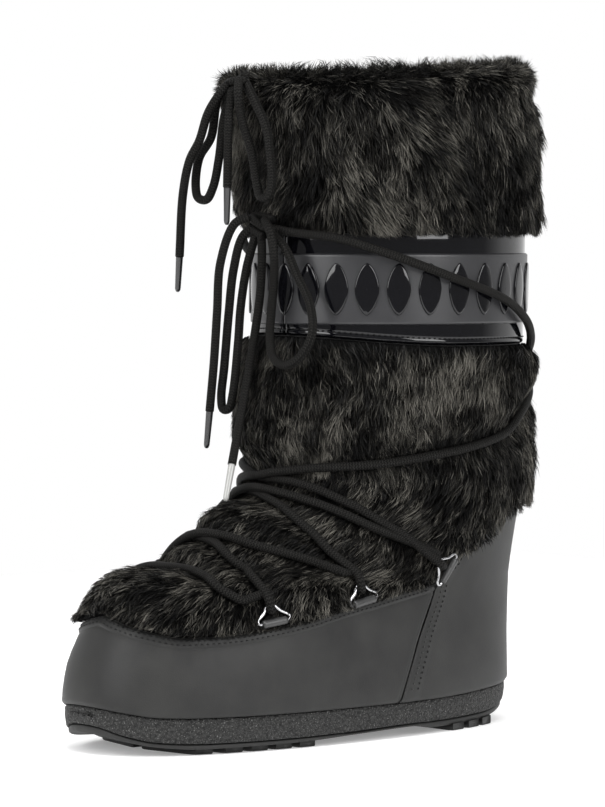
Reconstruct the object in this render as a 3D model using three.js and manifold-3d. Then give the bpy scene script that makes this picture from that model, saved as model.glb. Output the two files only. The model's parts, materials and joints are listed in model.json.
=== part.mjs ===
// Tall fake-fur snow boot, straight (either foot), standing on its sole.
// Millimetres, +Z up, toe towards -Y. The whole boot is worked out from one form: a stack of
// rounded sections, and a place on it is an angle (0 at the toe, 90 at +X, 180 at the heel),
// a height and a lift off the surface.

import * as THREE from 'three'
import { mergeVertices } from 'three/addons/utils/BufferGeometryUtils.js'
import Module from 'manifold-3d'

const wasm = await Module()
wasm.setup()

// Driving sizes of the boot
const FOOT_LENGTH = 280
const BALL_WIDTH = 112
const INSTEP_HEIGHT = 135.5
const SHAFT_WIDTH = 132
const SHAFT_DEPTH = 154
const RIM_HEIGHT = 346.5
const RIM_DIP = 8
const SOLE_HEIGHT = 18.5
const BAND_BOTTOM = 204.5
const BAND_HEIGHT = 59
const STRIP_HEIGHT = 37

// Thicknesses and gaps
const CLEARANCE = 0.3
const WALL = 5
const OVERLAY = 2
const INSOLE = 4
const STRIP_THICK = 1.2
const HEM_WIDTH = 4.5
const HEM_THICK = 0.7
const SOLE_INSET = 1.6
const LIP_INSET = 2.6
const LUG_GROOVE = 7
const BAND_RISE = 5.5
const SEAM_SLIT = 0.6

// Fur depth off the skin, where it is full and where a lace pinches it
const FUR_PINCHED = 0.3
const FOOT_FUR = 6
const ANKLE_FUR = 9
const COLLAR_FUR = 12
const COLLAR_LINING = 5
const COLLAR_TUCK = 22
const COLLAR_TOP = 8.5
const TUFT_LENGTH = 22
const TUFT_WIDTH = 9
const TUFT_PROUD = 3.5
const PINCH_NEAR = 13
const PINCH_FAR = 24

// Laces and fittings
const LACE = 4.6
const AGLET = 3.6
const AGLET_LENGTH = 20
const WIRE = 1.8
const KEEPER = 4.2
const KEEPER_LENGTH = 15
const LOOP_WIDTH = 19
const LOOP_HEIGHT = 9.5
const LOZENGE_WIDTH = 12.5
const LOZENGE_HEIGHT = 27
const LOZENGE_PROUD = 1
const LOZENGES = 28

// Fineness of the faces
const COLUMNS = 28
const INNER_COLUMNS = 20
const RAND_COLUMNS = 22
const COUNTER_COLUMNS = 12
const TUBE_SIDES = 8
const RING_SIDES = 6

// Foot sections: height as a share of INSTEP_HEIGHT, front and back of FOOT_LENGTH from the
// ankle line, half width of BALL_WIDTH, square is the power of the outline, taper widens the front
const FOOT = [
  { height: -0.040, front: 0.519, back: 0.450, half: 0.482, square: 2.40, taper: 0.08 },
  { height: 0.159, front: 0.529, back: 0.464, half: 0.500, square: 2.40, taper: 0.08 },
  { height: 0.306, front: 0.518, back: 0.463, half: 0.495, square: 2.40, taper: 0.08 },
  { height: 0.417, front: 0.498, back: 0.464, half: 0.482, square: 2.35, taper: 0.06 },
  { height: 0.491, front: 0.480, back: 0.468, half: 0.469, square: 2.30, taper: 0.04 },
  { height: 0.601, front: 0.428, back: 0.471, half: 0.451, square: 2.25, taper: 0.00 },
  { height: 0.631, front: 0.372, back: 0.472, half: 0.449, square: 2.20, taper: -0.02 },
  { height: 0.661, front: 0.316, back: 0.473, half: 0.448, square: 2.20, taper: -0.03 },
  { height: 0.734, front: 0.261, back: 0.477, half: 0.451, square: 2.15, taper: -0.05 },
  { height: 0.819, front: 0.198, back: 0.485, half: 0.466, square: 2.05, taper: -0.07 },
  { height: 0.908, front: 0.132, back: 0.489, half: 0.485, square: 2.00, taper: -0.08 },
  { height: 1.000, front: 0.100, back: 0.486, half: 0.513, square: 2.00, taper: -0.07 },
]

// Shaft sections: height as a share of the way from instep to rim, back of FOOT_LENGTH,
// depth of SHAFT_DEPTH, half of SHAFT_WIDTH
const SHAFT = [
  { height: 0.076, depth: 1.039, back: 0.479, half: 0.458, taper: -0.04 },
  { height: 0.327, depth: 0.994, back: 0.475, half: 0.492, taper: 0.00 },
  { height: 0.607, depth: 1.000, back: 0.479, half: 0.500, taper: 0.00 },
  { height: 1.000, depth: 1.065, back: 0.464, half: 0.523, taper: 0.00 },
  { height: 1.060, depth: 1.070, back: 0.463, half: 0.525, taper: 0.00 },
]

// Sole levels along the foot: along is a share of FOOT_LENGTH from the toe, the levels are
// shares of SOLE_HEIGHT: top of the cup, groove above the tread, and underside of the tread plate
const SOLE = [
  { along: 0.000, joint: 1.324, groove: 0.800, under: 0.560 },
  { along: 0.030, joint: 1.189, groove: 0.550, under: 0.390 },
  { along: 0.080, joint: 1.059, groove: 0.365, under: 0.230 },
  { along: 0.160, joint: 1.016, groove: 0.292, under: 0.141 },
  { along: 0.350, joint: 0.995, groove: 0.278, under: 0.141 },
  { along: 0.500, joint: 0.989, groove: 0.303, under: 0.205 },
  { along: 0.640, joint: 0.989, groove: 0.346, under: 0.249 },
  { along: 0.700, joint: 0.995, groove: 0.330, under: 0.141 },
  { along: 0.860, joint: 1.070, groove: 0.365, under: 0.170 },
  { along: 0.950, joint: 1.135, groove: 0.540, under: 0.340 },
  { along: 1.000, joint: 1.162, groove: 0.740, under: 0.540 },
]

// Rows of lugs: along is a share of FOOT_LENGTH from the toe, depth of FOOT_LENGTH,
// sweep is how far a lug's outer end lies back, of FOOT_LENGTH
const LUGS = [
  { along: 0.130, depth: 0.034, sweep: 0.025 },
  { along: 0.190, depth: 0.038, sweep: 0.020 },
  { along: 0.250, depth: 0.038, sweep: 0.012 },
  { along: 0.310, depth: 0.038, sweep: 0.004 },
  { along: 0.370, depth: 0.038, sweep: -0.004 },
  { along: 0.740, depth: 0.038, sweep: 0.010 },
  { along: 0.800, depth: 0.038, sweep: 0.000 },
  { along: 0.860, depth: 0.038, sweep: -0.012 },
]

// Top edge of the rand, and of the heel counter: angle, height of INSTEP_HEIGHT
const RAND_TOP = [
  { angle: 0, height: 0.513 },
  { angle: 12, height: 0.489 },
  { angle: 25, height: 0.463 },
  { angle: 42, height: 0.437 },
  { angle: 55, height: 0.441 },
  { angle: 74, height: 0.474 },
  { angle: 86, height: 0.520 },
  { angle: 96, height: 0.560 },
  { angle: 110, height: 0.600 },
]
const COUNTER_TOP = [
  { angle: 104, height: 0.686 },
  { angle: 112, height: 0.712 },
  { angle: 120, height: 0.782 },
  { angle: 126, height: 0.848 },
  { angle: 140, height: 0.871 },
  { angle: 180, height: 0.878 },
]

// Seam between rand and counter: height of INSTEP_HEIGHT, angle
const SEAM = [
  { height: 0.12, angle: 98 },
  { height: 0.37, angle: 103 },
  { height: 0.57, angle: 107.5 },
  { height: 0.72, angle: 106.5 },
]

// Line of the ankle lace, where foot fur and ankle fur part: angle, height of INSTEP_HEIGHT
const ANKLE_LINE = [
  { angle: 0, height: 0.993 },
  { angle: 12, height: 1.022 },
  { angle: 29, height: 1.044 },
  { angle: 55, height: 1.063 },
  { angle: 78, height: 1.096 },
  { angle: 94, height: 1.122 },
  { angle: 113, height: 1.170 },
  { angle: 128, height: 1.255 },
  { angle: 150, height: 1.335 },
  { angle: 180, height: 1.387 },
]

// Lace rings on each side: angle and height of INSTEP_HEIGHT of the keeper, tilt of its axis
const RINGS = [
  { angle: 66, height: 0.478, tilt: 8 },
  { angle: 88, height: 0.535, tilt: 11 },
  { angle: 107, height: 0.636, tilt: 55 },
]

// Laces over the foot: from a ring on one side to a ring on the other, with the places between
// as angle, height of INSTEP_HEIGHT and lift; a negative angle is the other side, and past -180
// the lace has gone round the heel and comes back on the first side
const LACE_BAR = {
  from: 1, to: 1, steps: 8,
  places: [
    { angle: 54, height: 0.560, lift: 3.6 },
    { angle: 41.5, height: 0.608, lift: 3.8 },
    { angle: 15, height: 0.652, lift: 3.8 },
    { angle: -15, height: 0.652, lift: 3.8 },
    { angle: -41.5, height: 0.608, lift: 3.8 },
    { angle: -54, height: 0.560, lift: 3.6 },
  ],
}
const LACE_LOW = {
  from: 1, to: 2, steps: 9,
  places: [
    { angle: 52, height: 0.620, lift: 3.8 },
    { angle: 33.5, height: 0.675, lift: 3.8 },
    { angle: 12, height: 0.747, lift: 3.8 },
    { angle: -14.5, height: 0.765, lift: 3.8 },
    { angle: -33.5, height: 0.741, lift: 3.8 },
    { angle: -53.5, height: 0.705, lift: 3.8 },
    { angle: -74, height: 0.645, lift: 3.8 },
  ],
}
const LACE_HIGH = {
  from: 2, to: 3, steps: 11,
  places: [
    { angle: 65.5, height: 0.708, lift: 3.8 },
    { angle: 48, height: 0.797, lift: 3.8 },
    { angle: 20.5, height: 0.893, lift: 3.8 },
    { angle: 0, height: 0.935, lift: 3.8 },
    { angle: -26, height: 0.922, lift: 3.8 },
    { angle: -52, height: 0.863, lift: 3.8 },
    { angle: -73, height: 0.801, lift: 3.8 },
  ],
}
const LACE_ANKLE = {
  from: 3, steps: 26,
  places: [
    { angle: 79.5, height: 0.797, lift: 3.8 },
    { angle: 62, height: 0.862, lift: 3.8 },
    { angle: 40.5, height: 0.937, lift: 3.8 },
    { angle: 22, height: 0.981, lift: 3.8 },
    { angle: 0, height: 1.000, lift: 3.8 },
    { angle: -12, height: 1.022, lift: 3.8 },
    { angle: -29, height: 1.044, lift: 3.8 },
    { angle: -55, height: 1.063, lift: 3.8 },
    { angle: -78, height: 1.096, lift: 3.8 },
    { angle: -94, height: 1.122, lift: 3.8 },
    { angle: -113, height: 1.170, lift: 3.8 },
    { angle: -128, height: 1.255, lift: 3.8 },
    { angle: -150, height: 1.335, lift: 3.8 },
    { angle: -180, height: 1.387, lift: 3.8 },
    { angle: -210, height: 1.485, lift: 4.0 },
    { angle: -237, height: 1.610, lift: 5.4 },
    { angle: -254, height: 1.683, lift: 5.9 },
    { angle: -281, height: 1.771, lift: 5.9 },
    { angle: -308, height: 1.867, lift: 5.6 },
    { angle: -326, height: 1.920, lift: 5.4 },
    { angle: -346, height: 1.945, lift: 7.0 },
    { angle: -356, height: 1.965, lift: 11.0 },
  ],
}

// Bows and free ends: points x, y, z chosen by hand, and the steps of each tube
const COLLAR_KNOT = { at: [-1, -46, 340], size: [15, 11, 12] }
const BOW_KNOT = { at: [5, -33, 267], size: [19, 12, 13] }
const CORDS = [
  {
    name: 'collar_loop_left', knot: COLLAR_KNOT, steps: 20,
    points: [[-5, -47, 340], [-11, -50, 334], [-16, -51, 313], [-25, -52, 302], [-28, -52, 288],
      [-26.5, -51.5, 281.5], [-21.5, -50, 280.5], [-17, -49, 287], [-12, -49, 302], [-8, -49, 322],
      [-3.5, -48, 335]],
  },
  {
    name: 'collar_end_left', knot: COLLAR_KNOT, steps: 8, aglet: true,
    points: [[-3, -50.5, 340], [-5.5, -54.5, 334], [-11, -57, 325], [-17, -58, 311], [-24, -59, 301],
      [-31, -58, 284], [-42, -52, 251]],
  },
  {
    name: 'collar_loop_right', knot: COLLAR_KNOT, steps: 22,
    points: [[4, -48.5, 342], [8, -52, 334], [7, -49, 322], [9, -44, 305], [12, -43, 289],
      [14.5, -42.5, 282], [19.5, -41.5, 282], [22, -41, 289], [22, -42, 302], [20, -43, 317],
      [13, -45, 331], [4, -44, 341]],
  },
  {
    name: 'collar_end_right', knot: COLLAR_KNOT, steps: 5, aglet: true,
    points: [[0, -50, 337], [1.5, -53, 322], [-2, -51, 303], [-5, -49, 287]],
  },
  {
    name: 'bow_end_left', knot: BOW_KNOT, steps: 8, aglet: true,
    points: [[0, -38.5, 271.5], [-5, -44, 268], [-12, -48, 248], [-15, -48, 222], [-19, -47, 196],
      [-24, -46, 170]],
  },
  {
    name: 'bow_loop_left', knot: BOW_KNOT, steps: 26,
    points: [[0, -36, 266.5], [-4.5, -39.5, 261], [-10, -41, 244], [-14, -41, 222], [-18, -41, 193],
      [-20.5, -41, 177], [-19, -41, 171], [-14.5, -40.5, 171.5], [-12, -40, 179], [-10, -38, 206],
      [-9, -37, 225], [-4, -37, 245], [2, -36, 262]],
  },
  {
    name: 'bow_end_right', knot: BOW_KNOT, steps: 8, aglet: true,
    points: [[7, -36, 263], [5, -34, 252], [1, -32, 232], [-2, -33, 212], [-4, -36, 190],
      [-4, -42, 164], [0, -50, 143]],
  },
  {
    name: 'bow_loop_right', knot: BOW_KNOT, steps: 18,
    points: [[9, -35.5, 270], [16, -37.5, 264], [18, -36.5, 252], [13, -32.5, 238], [9, -31, 222],
      [9, -32, 209], [15, -34, 198], [26, -34, 195], [35, -32, 200], [40, -29, 211],
      [36, -27, 226], [26, -28, 242], [20, -30.5, 255], [11, -33, 263.5]],
  },
]

const radians = THREE.MathUtils.degToRad

// Smooth rising or falling curve through the rows of a table, with no overshoot
function curve(rows, along, column) {
  const x = rows.map(row => row[along])
  const y = rows.map(row => row[column])
  const last = x.length - 1
  const slope = x.slice(1).map((value, i) => (y[i + 1] - y[i]) / (value - x[i]))
  const bend = x.map((value, i) => {
    if (i === 0) return slope[0]
    if (i === last) return slope[last - 1]
    const product = slope[i - 1] * slope[i]
    return product <= 0 ? 0 : (2 * product) / (slope[i - 1] + slope[i])
  })
  return at => {
    const place = THREE.MathUtils.clamp(at, x[0], x[last])
    let i = 0
    while (i < last - 1 && place > x[i + 1]) i += 1
    const span = x[i + 1] - x[i]
    const t = (place - x[i]) / span
    const start = (1 + 2 * t) * (1 - t) ** 2 * y[i] + t * (1 - t) ** 2 * span * bend[i]
    const end = t * t * (3 - 2 * t) * y[i + 1] + t * t * (t - 1) * span * bend[i + 1]
    return start + end
  }
}

// The same for a line round the boot that is alike on both sides, scaled to a size
function lineRound(rows, scale) {
  const height = curve(rows, 'angle', 'height')
  return angle => scale * height(Math.abs(THREE.MathUtils.euclideanModulo(angle + 180, 360) - 180))
}

// Sections of the whole form in millimetres
const SECTIONS = [
  ...FOOT.map(row => ({
    z: row.height * INSTEP_HEIGHT,
    front: -row.front * FOOT_LENGTH,
    back: row.back * FOOT_LENGTH,
    half: row.half * BALL_WIDTH,
    square: row.square,
    taper: row.taper,
  })),
  ...SHAFT.map(row => ({
    z: INSTEP_HEIGHT + row.height * (RIM_HEIGHT - INSTEP_HEIGHT),
    front: row.back * FOOT_LENGTH - row.depth * SHAFT_DEPTH,
    back: row.back * FOOT_LENGTH,
    half: row.half * SHAFT_WIDTH,
    square: 2,
    taper: row.taper,
  })),
]
const front = curve(SECTIONS, 'z', 'front')
const back = curve(SECTIONS, 'z', 'back')
const half = curve(SECTIONS, 'z', 'half')
const square = curve(SECTIONS, 'z', 'square')
const taper = curve(SECTIONS, 'z', 'taper')

// Point of the form's surface at an angle and a height
function surface(angle, z) {
  const power = 2 / square(z)
  const across = Math.sin(radians(angle))
  const along = Math.cos(radians(angle))
  const x = Math.sign(across) * Math.abs(across) ** power
  const y = Math.sign(along) * Math.abs(along) ** power
  const middle = (front(z) + back(z)) / 2
  const reach = (back(z) - front(z)) / 2
  return new THREE.Vector3(half(z) * x * (1 + taper(z) * y), middle - reach * y, z)
}

// Outward direction of the form's surface there
function outward(angle, z) {
  const round = surface(angle + 0.5, z).sub(surface(angle - 0.5, z))
  const up = surface(angle, z + 0.5).sub(surface(angle, z - 0.5))
  return round.cross(up).normalize()
}

function skin(angle, z, lift) {
  return surface(angle, z).addScaledVector(outward(angle, z), lift)
}

// Solid from loops of points laid one after another. Point i of a loop faces the last but i,
// so the two end loops close by strips across; a looped stack closes on itself instead.
function stack(loops, looped = false) {
  const count = loops[0].length
  const positions = loops.flat().flatMap(point => point.toArray())
  const index = []
  const pairs = looped ? loops.length : loops.length - 1
  for (let row = 0; row < pairs; row += 1) {
    const low = row * count
    const high = ((row + 1) % loops.length) * count
    for (let i = 0; i < count; i += 1) {
      const next = (i + 1) % count
      index.push(low + i, low + next, high + next, low + i, high + next, high + i)
    }
  }
  if (!looped) {
    const top = (loops.length - 1) * count
    for (let i = 0; i < count / 2 - 1; i += 1) {
      const across = count - 1 - i
      index.push(top + i, top + i + 1, top + across - 1, top + i, top + across - 1, top + across)
      index.push(i, across - 1, i + 1, i, across, across - 1)
    }
  }
  return new wasm.Manifold(new wasm.Mesh({
    numProp: 3,
    vertProperties: new Float32Array(positions),
    triVerts: new Uint32Array(index),
  }))
}

// Solid of a three.js geometry placed by a matrix
function solid(geometry, matrix = new THREE.Matrix4()) {
  const bare = geometry.clone().applyMatrix4(matrix)
  bare.deleteAttribute('normal')
  bare.deleteAttribute('uv')
  const merged = mergeVertices(bare, 1e-4)
  return new wasm.Manifold(new wasm.Mesh({
    numProp: 3,
    vertProperties: new Float32Array(merged.attributes.position.array),
    triVerts: new Uint32Array(merged.index.array),
  }))
}

// The whole boot as one filled solid, lifted off or sunk under its surface
function form(lift, columns = COLUMNS) {
  const angles = Array.from({ length: columns }, (unused, i) => ((i + 0.5) * 360) / columns)
  return stack(SECTIONS.map(row => angles.map(angle => skin(angle, row.z, lift))))
}

// Everything under a level that changes along the foot only, drawn through the given places
function under(level, stations, extra = 0) {
  const reach = 2 * FOOT_LENGTH
  const outline = new THREE.Shape()
  outline.moveTo(-reach, -reach)
  outline.lineTo(reach, -reach)
  for (const y of [reach, ...stations, -reach]) {
    outline.lineTo(y, level(y) + extra)
  }
  const block = new THREE.ExtrudeGeometry(outline, { depth: 2 * reach, bevelEnabled: false })
  const turn = new THREE.Matrix4().set(0, 0, 1, -reach, 1, 0, 0, 0, 0, 1, 0, 0, 0, 0, 0, 1)
  return solid(block, turn)
}

// Levels of the sole and of the rim
const TOE = -Math.max(...FOOT.map(row => row.front)) * FOOT_LENGTH
const SOLE_STATIONS = SOLE.flatMap((row, i) => {
  const next = SOLE[Math.min(i + 1, SOLE.length - 1)]
  return [row.along, (row.along + next.along) / 2]
}).map(along => TOE + along * FOOT_LENGTH).reverse()
function soleLevel(column) {
  const share = curve(SOLE, 'along', column)
  return y => SOLE_HEIGHT * share((y - TOE) / FOOT_LENGTH)
}
const joint = soleLevel('joint')
const groove = soleLevel('groove')
const tread = soleLevel('under')
const rimBack = back(RIM_HEIGHT)
const rimDepth = rimBack - front(RIM_HEIGHT)
function rim(y) {
  const share = THREE.MathUtils.clamp((rimBack - y) / rimDepth, 0, 1)
  return RIM_HEIGHT - RIM_DIP * share
}
const RIM_STATIONS = [rimBack, rimBack - rimDepth]

// Sole: cup with the sidewall, and the tread plate with its lugs
const midsole = form(-SOLE_INSET)
  .intersect(under(joint, SOLE_STATIONS))
  .subtract(under(groove, SOLE_STATIONS, CLEARANCE / 2))

function lug(row, side) {
  const start = TOE + row.along * FOOT_LENGTH
  const end = start + row.depth * FOOT_LENGTH
  const sweep = row.sweep * FOOT_LENGTH
  const corners = [[LUG_GROOVE / 2, start], [BALL_WIDTH, start + sweep],
    [BALL_WIDTH, end + sweep], [LUG_GROOVE / 2, end]]
  const outline = new THREE.Shape(corners.map(([x, y]) => new THREE.Vector2(side * x, y)))
  return solid(new THREE.ExtrudeGeometry(outline, { depth: SOLE_HEIGHT, bevelEnabled: false }))
}
const lugLimit = form(-LIP_INSET - 1).intersect(under(groove, SOLE_STATIONS, -1))
const outsole = LUGS.flatMap(row => [lug(row, 1), lug(row, -1)]).reduce(
  (sole, piece) => sole.add(piece.intersect(lugLimit)),
  form(-LIP_INSET)
    .intersect(under(groove, SOLE_STATIONS, -CLEARANCE / 2))
    .subtract(under(tread, SOLE_STATIONS)),
)

// Upper: padded wall from the sole to the rim, and the board inside it
const outerSink = -OVERLAY - CLEARANCE
const innerSink = outerSink - WALL
const upper = form(outerSink)
  .subtract(form(innerSink, INNER_COLUMNS))
  .subtract(under(joint, SOLE_STATIONS, CLEARANCE))
  .intersect(under(rim, RIM_STATIONS))
const insole = form(innerSink - CLEARANCE, INNER_COLUMNS)
  .intersect(under(joint, SOLE_STATIONS, CLEARANCE + INSOLE))
  .subtract(under(joint, SOLE_STATIONS, CLEARANCE))

// Thick slab over part of the form, or right round it where it is looped. place gives the angle
// and height of a point s of the way across and t of the way up. Each row holds t, its outer and
// inner lift, a number or a function of the place, and how far it drops below t.
function slab({ columns = COLUMNS, rows, place, looped = false }) {
  const count = looped ? columns : columns + 1
  const loops = Array.from({ length: count }, (unused, i) => {
    const s = looped ? (i + 0.5) / columns : i / columns
    const points = rows.map(row => {
      const spot = place(s, row.t)
      const z = spot.z - (row.drop ?? 0)
      const outer = typeof row.outer === 'function' ? row.outer(spot.angle, z) : row.outer
      return [skin(spot.angle, z, outer), skin(spot.angle, z, row.inner)]
    })
    return [...points.map(pair => pair[0]).reverse(), ...points.map(pair => pair[1])]
  })
  return stack(loops, looped)
}

// Place between two lines that go right round the boot
function ringPlace(low, high) {
  return (s, t) => {
    const angle = 360 * s
    return { angle, z: THREE.MathUtils.lerp(low(angle), high(angle), t) }
  }
}

// Place between two slanted side edges, each an angle that changes with the height
function panelPlace(edges, low, high) {
  return (s, t) => {
    let z = low
    let angle = 0
    for (let pass = 0; pass < 4; pass += 1) {
      const [from, to] = edges(z)
      angle = THREE.MathUtils.lerp(from, to, s)
      z = THREE.MathUtils.lerp(low, high(angle), t)
    }
    return { angle, z }
  }
}

// Rand round the toe and both sides, and the heel counter behind it. Both reach below the
// sole's joint and are cut off above it, and a grown copy of each makes room in the fur.
const DEEP = -9
const PROUD = FOOT_FUR + 2 * TUFT_PROUD
const RAND_LOW = 0.55 * SOLE_HEIGHT
const randTop = lineRound(RAND_TOP, INSTEP_HEIGHT)
const counterTop = lineRound(COUNTER_TOP, INSTEP_HEIGHT)
const seamAngle = curve(SEAM, 'height', 'angle')
const SEAM_GAP = THREE.MathUtils.radToDeg(CLEARANCE / FOOT_LENGTH)
function randEdges(grow) {
  return z => {
    const edge = seamAngle(z / INSTEP_HEIGHT) - SEAM_GAP + grow
    return [-edge, edge]
  }
}
function counterEdges(grow) {
  return z => {
    const edge = seamAngle(z / INSTEP_HEIGHT) + SEAM_GAP - grow
    return [edge, 360 - edge]
  }
}
const formUnderOverlay = form(-OVERLAY)
const soleTop = under(joint, SOLE_STATIONS, CLEARANCE)
const randRows = [
  { t: 0, outer: -1.6, inner: DEEP },
  { t: 0.4, outer: 0.2, inner: DEEP },
  { t: 1, drop: HEM_WIDTH + HEM_THICK, outer: 0, inner: DEEP },
  { t: 1, drop: HEM_WIDTH, outer: HEM_THICK, inner: DEEP },
  { t: 1, outer: HEM_THICK / 2, inner: DEEP },
]
const counterRows = [
  { t: 0, outer: -1.6, inner: DEEP },
  { t: 0.33, outer: 0.2, inner: DEEP },
  { t: 0.76, outer: 0, inner: DEEP },
  { t: 1, outer: 0, inner: DEEP },
]
const rand = slab({
  columns: RAND_COLUMNS,
  place: panelPlace(randEdges(0), RAND_LOW, randTop),
  rows: randRows,
}).subtract(formUnderOverlay).subtract(soleTop)
const counter = slab({
  columns: COUNTER_COLUMNS,
  place: panelPlace(counterEdges(0), RAND_LOW, counterTop),
  rows: counterRows,
}).subtract(formUnderOverlay).subtract(soleTop)
const roomRows = rows => rows.map(row => ({ ...row, outer: PROUD }))
const randRoom = slab({
  columns: RAND_COLUMNS,
  place: panelPlace(randEdges(2 * SEAM_GAP), RAND_LOW, angle => randTop(angle) + 3 * CLEARANCE),
  rows: roomRows(randRows),
})
const counterRoom = slab({
  columns: COUNTER_COLUMNS,
  place: panelPlace(
    counterEdges(2 * SEAM_GAP), RAND_LOW, angle => counterTop(angle) + 4 * CLEARANCE),
  rows: roomRows(counterRows),
})
const overlayRoom = randRoom.add(counterRoom)

// Lace rings: a place for each, its frame on the boot, and the wire and keeper in that frame
function ringFrame(row, side) {
  const z = row.height * INSTEP_HEIGHT
  const lift = HEM_THICK + CLEARANCE + KEEPER / 2
  const normal = outward(row.angle, z)
  const round = surface(row.angle + 0.5, z).sub(surface(row.angle - 0.5, z)).normalize()
  const up = normal.clone().cross(round)
  const turn = radians(row.tilt)
  const along = round.multiplyScalar(Math.cos(turn)).addScaledVector(up, Math.sin(turn))
  const reach = normal.clone().cross(along)
  const centre = skin(row.angle, z, lift)
  for (const vector of [normal, along, reach, centre]) vector.x *= side
  return { centre, along, reach, normal }
}
function onRing(frame, along, reach, lift = 0) {
  return frame.centre.clone()
    .addScaledVector(frame.along, along)
    .addScaledVector(frame.reach, reach)
    .addScaledVector(frame.normal, lift)
}
function tube(points, radius, steps, sides = TUBE_SIDES) {
  const outline = new THREE.Shape().absarc(0, 0, radius, 0, 2 * Math.PI)
  return solid(new THREE.ExtrudeGeometry(outline, {
    steps,
    curveSegments: sides / 2,
    extrudePath: new THREE.CatmullRomCurve3(points, false, 'centripetal'),
  }))
}
function ringWire(frame, extra = 0) {
  const half = LOOP_WIDTH / 2
  const end = CLEARANCE / 2
  const rightSide = [[end, 0], [half / 2, 0], [half - 1.5, 0], [half, 1.5],
    [half * 0.55, LOOP_HEIGHT / 2], [half * 0.2, LOOP_HEIGHT * 0.93]]
  const leftSide = rightSide.map(([along, reach]) => [-along, reach]).reverse()
  const outline = [...rightSide, [0, LOOP_HEIGHT], ...leftSide]
  const points = outline.map(([along, reach]) => onRing(frame, along, reach))
  return tube(points, WIRE / 2 + extra, 12, RING_SIDES)
}
function keeperMatrix(frame) {
  const side = frame.along.clone().cross(frame.reach)
  return new THREE.Matrix4()
    .makeBasis(frame.reach.clone().negate(), frame.along, side)
    .setPosition(frame.centre)
}
function keeperTube(frame) {
  const bore = WIRE / 2 + CLEARANCE
  const outer = KEEPER / 2
  const half = KEEPER_LENGTH / 2
  const profile = [[bore, -half], [outer, -half], [outer, half], [bore, half], [bore, -half]]
    .map(([radius, y]) => new THREE.Vector2(radius, y))
  return solid(new THREE.LatheGeometry(profile, RING_SIDES), keeperMatrix(frame))
}
function ringRoomSolid(frame) {
  const radius = KEEPER / 2 + CLEARANCE
  const length = KEEPER_LENGTH + 2 * CLEARANCE
  const filled = new THREE.CylinderGeometry(radius, radius, length, RING_SIDES)
  return solid(filled, keeperMatrix(frame)).add(ringWire(frame, CLEARANCE))
}

// Lace over the foot, round the ankle and up to the bow, on each side
function laceEnd(ring, side) {
  const frame = ringFrame(RINGS[ring - 1], side)
  return onRing(frame, 0, LOOP_HEIGHT + (WIRE + LACE) / 2 + CLEARANCE, 0.6)
}
function lacePath(lace, side) {
  const places = lace.places.map(({ angle, height, lift }) =>
    new THREE.Vector3(angle, height * INSTEP_HEIGHT, lift))
  const path = new THREE.CatmullRomCurve3(places, false, 'centripetal')
    .getPoints(2 * lace.steps)
    .map(place => skin(side * place.x, place.y, place.z))
  path.unshift(laceEnd(lace.from, side))
  if (lace.to) path.push(laceEnd(lace.to, -side))
  return path
}
const strands = [
  { lace: LACE_BAR, side: 1 },
  ...[LACE_LOW, LACE_HIGH, LACE_ANKLE].flatMap(lace => [{ lace, side: 1 }, { lace, side: -1 }]),
].map(({ lace, side }) => ({ path: lacePath(lace, side), steps: lace.steps }))
const unite = solids => solids.reduce((whole, piece) => whole.add(piece))
const laceSolid = unite(strands.map(({ path, steps }) => tube(path, LACE / 2, steps)))
const laceRoom = unite(strands.map(({ path, steps }) => tube(path, LACE / 2 + CLEARANCE, steps)))
const ringRoom = unite(RINGS.flatMap(row => [1, -1].map(side =>
  ringRoomSolid(ringFrame(row, side)))))

// Places that pinch the fur: along the laces and at the rings
const pinches = [
  ...strands.flatMap(({ path, steps }) =>
    new THREE.CatmullRomCurve3(path, false, 'centripetal').getSpacedPoints(2 * steps)),
  ...RINGS.flatMap(row => [1, -1].map(side => ringFrame(row, side).centre)),
]
function furLift(full) {
  return (angle, z) => {
    const spot = surface(angle, z)
    const nearest = Math.min(...pinches.map(pinch => pinch.distanceTo(spot)))
    const share = THREE.MathUtils.smoothstep(nearest, PINCH_NEAR, PINCH_FAR)
    return THREE.MathUtils.lerp(FUR_PINCHED, full, share)
  }
}

// Tufts: slim pyramids rooted in the fur, pointing down and outwards, alike on both sides
const GOLDEN_ANGLE = 137.5
const PLASTIC_STEP = 0.7549
function tufts({ count, low, high, full, down = 1 }) {
  const lift = furLift(full)
  const spread = Array.from({ length: count }, (unused, i) => {
    const angle = ((i + 1) * GOLDEN_ANGLE) % 180
    const share = ((i + 1) * PLASTIC_STEP) % 1
    return { angle, z: THREE.MathUtils.lerp(low(angle), high(angle), share) }
  })
  return spread.flatMap(({ angle, z }) => {
    const depth = lift(angle, z)
    if (depth < full / 2) return []
    return [1, -1].map(side => {
      const root = skin(side * angle, z, depth - 3)
      const tip = skin(side * angle, z - down * TUFT_LENGTH, depth + TUFT_PROUD)
      const axis = tip.clone().sub(root)
      const shape = new THREE.ConeGeometry(TUFT_WIDTH / 2, axis.length(), 3)
      const turn = new THREE.Quaternion().setFromUnitVectors(
        new THREE.Vector3(0, 1, 0), axis.clone().normalize())
      const matrix = new THREE.Matrix4().compose(
        root.add(tip).multiplyScalar(0.5), turn, new THREE.Vector3(1, 1, 1))
      return solid(shape, matrix)
    })
  })
}

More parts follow.
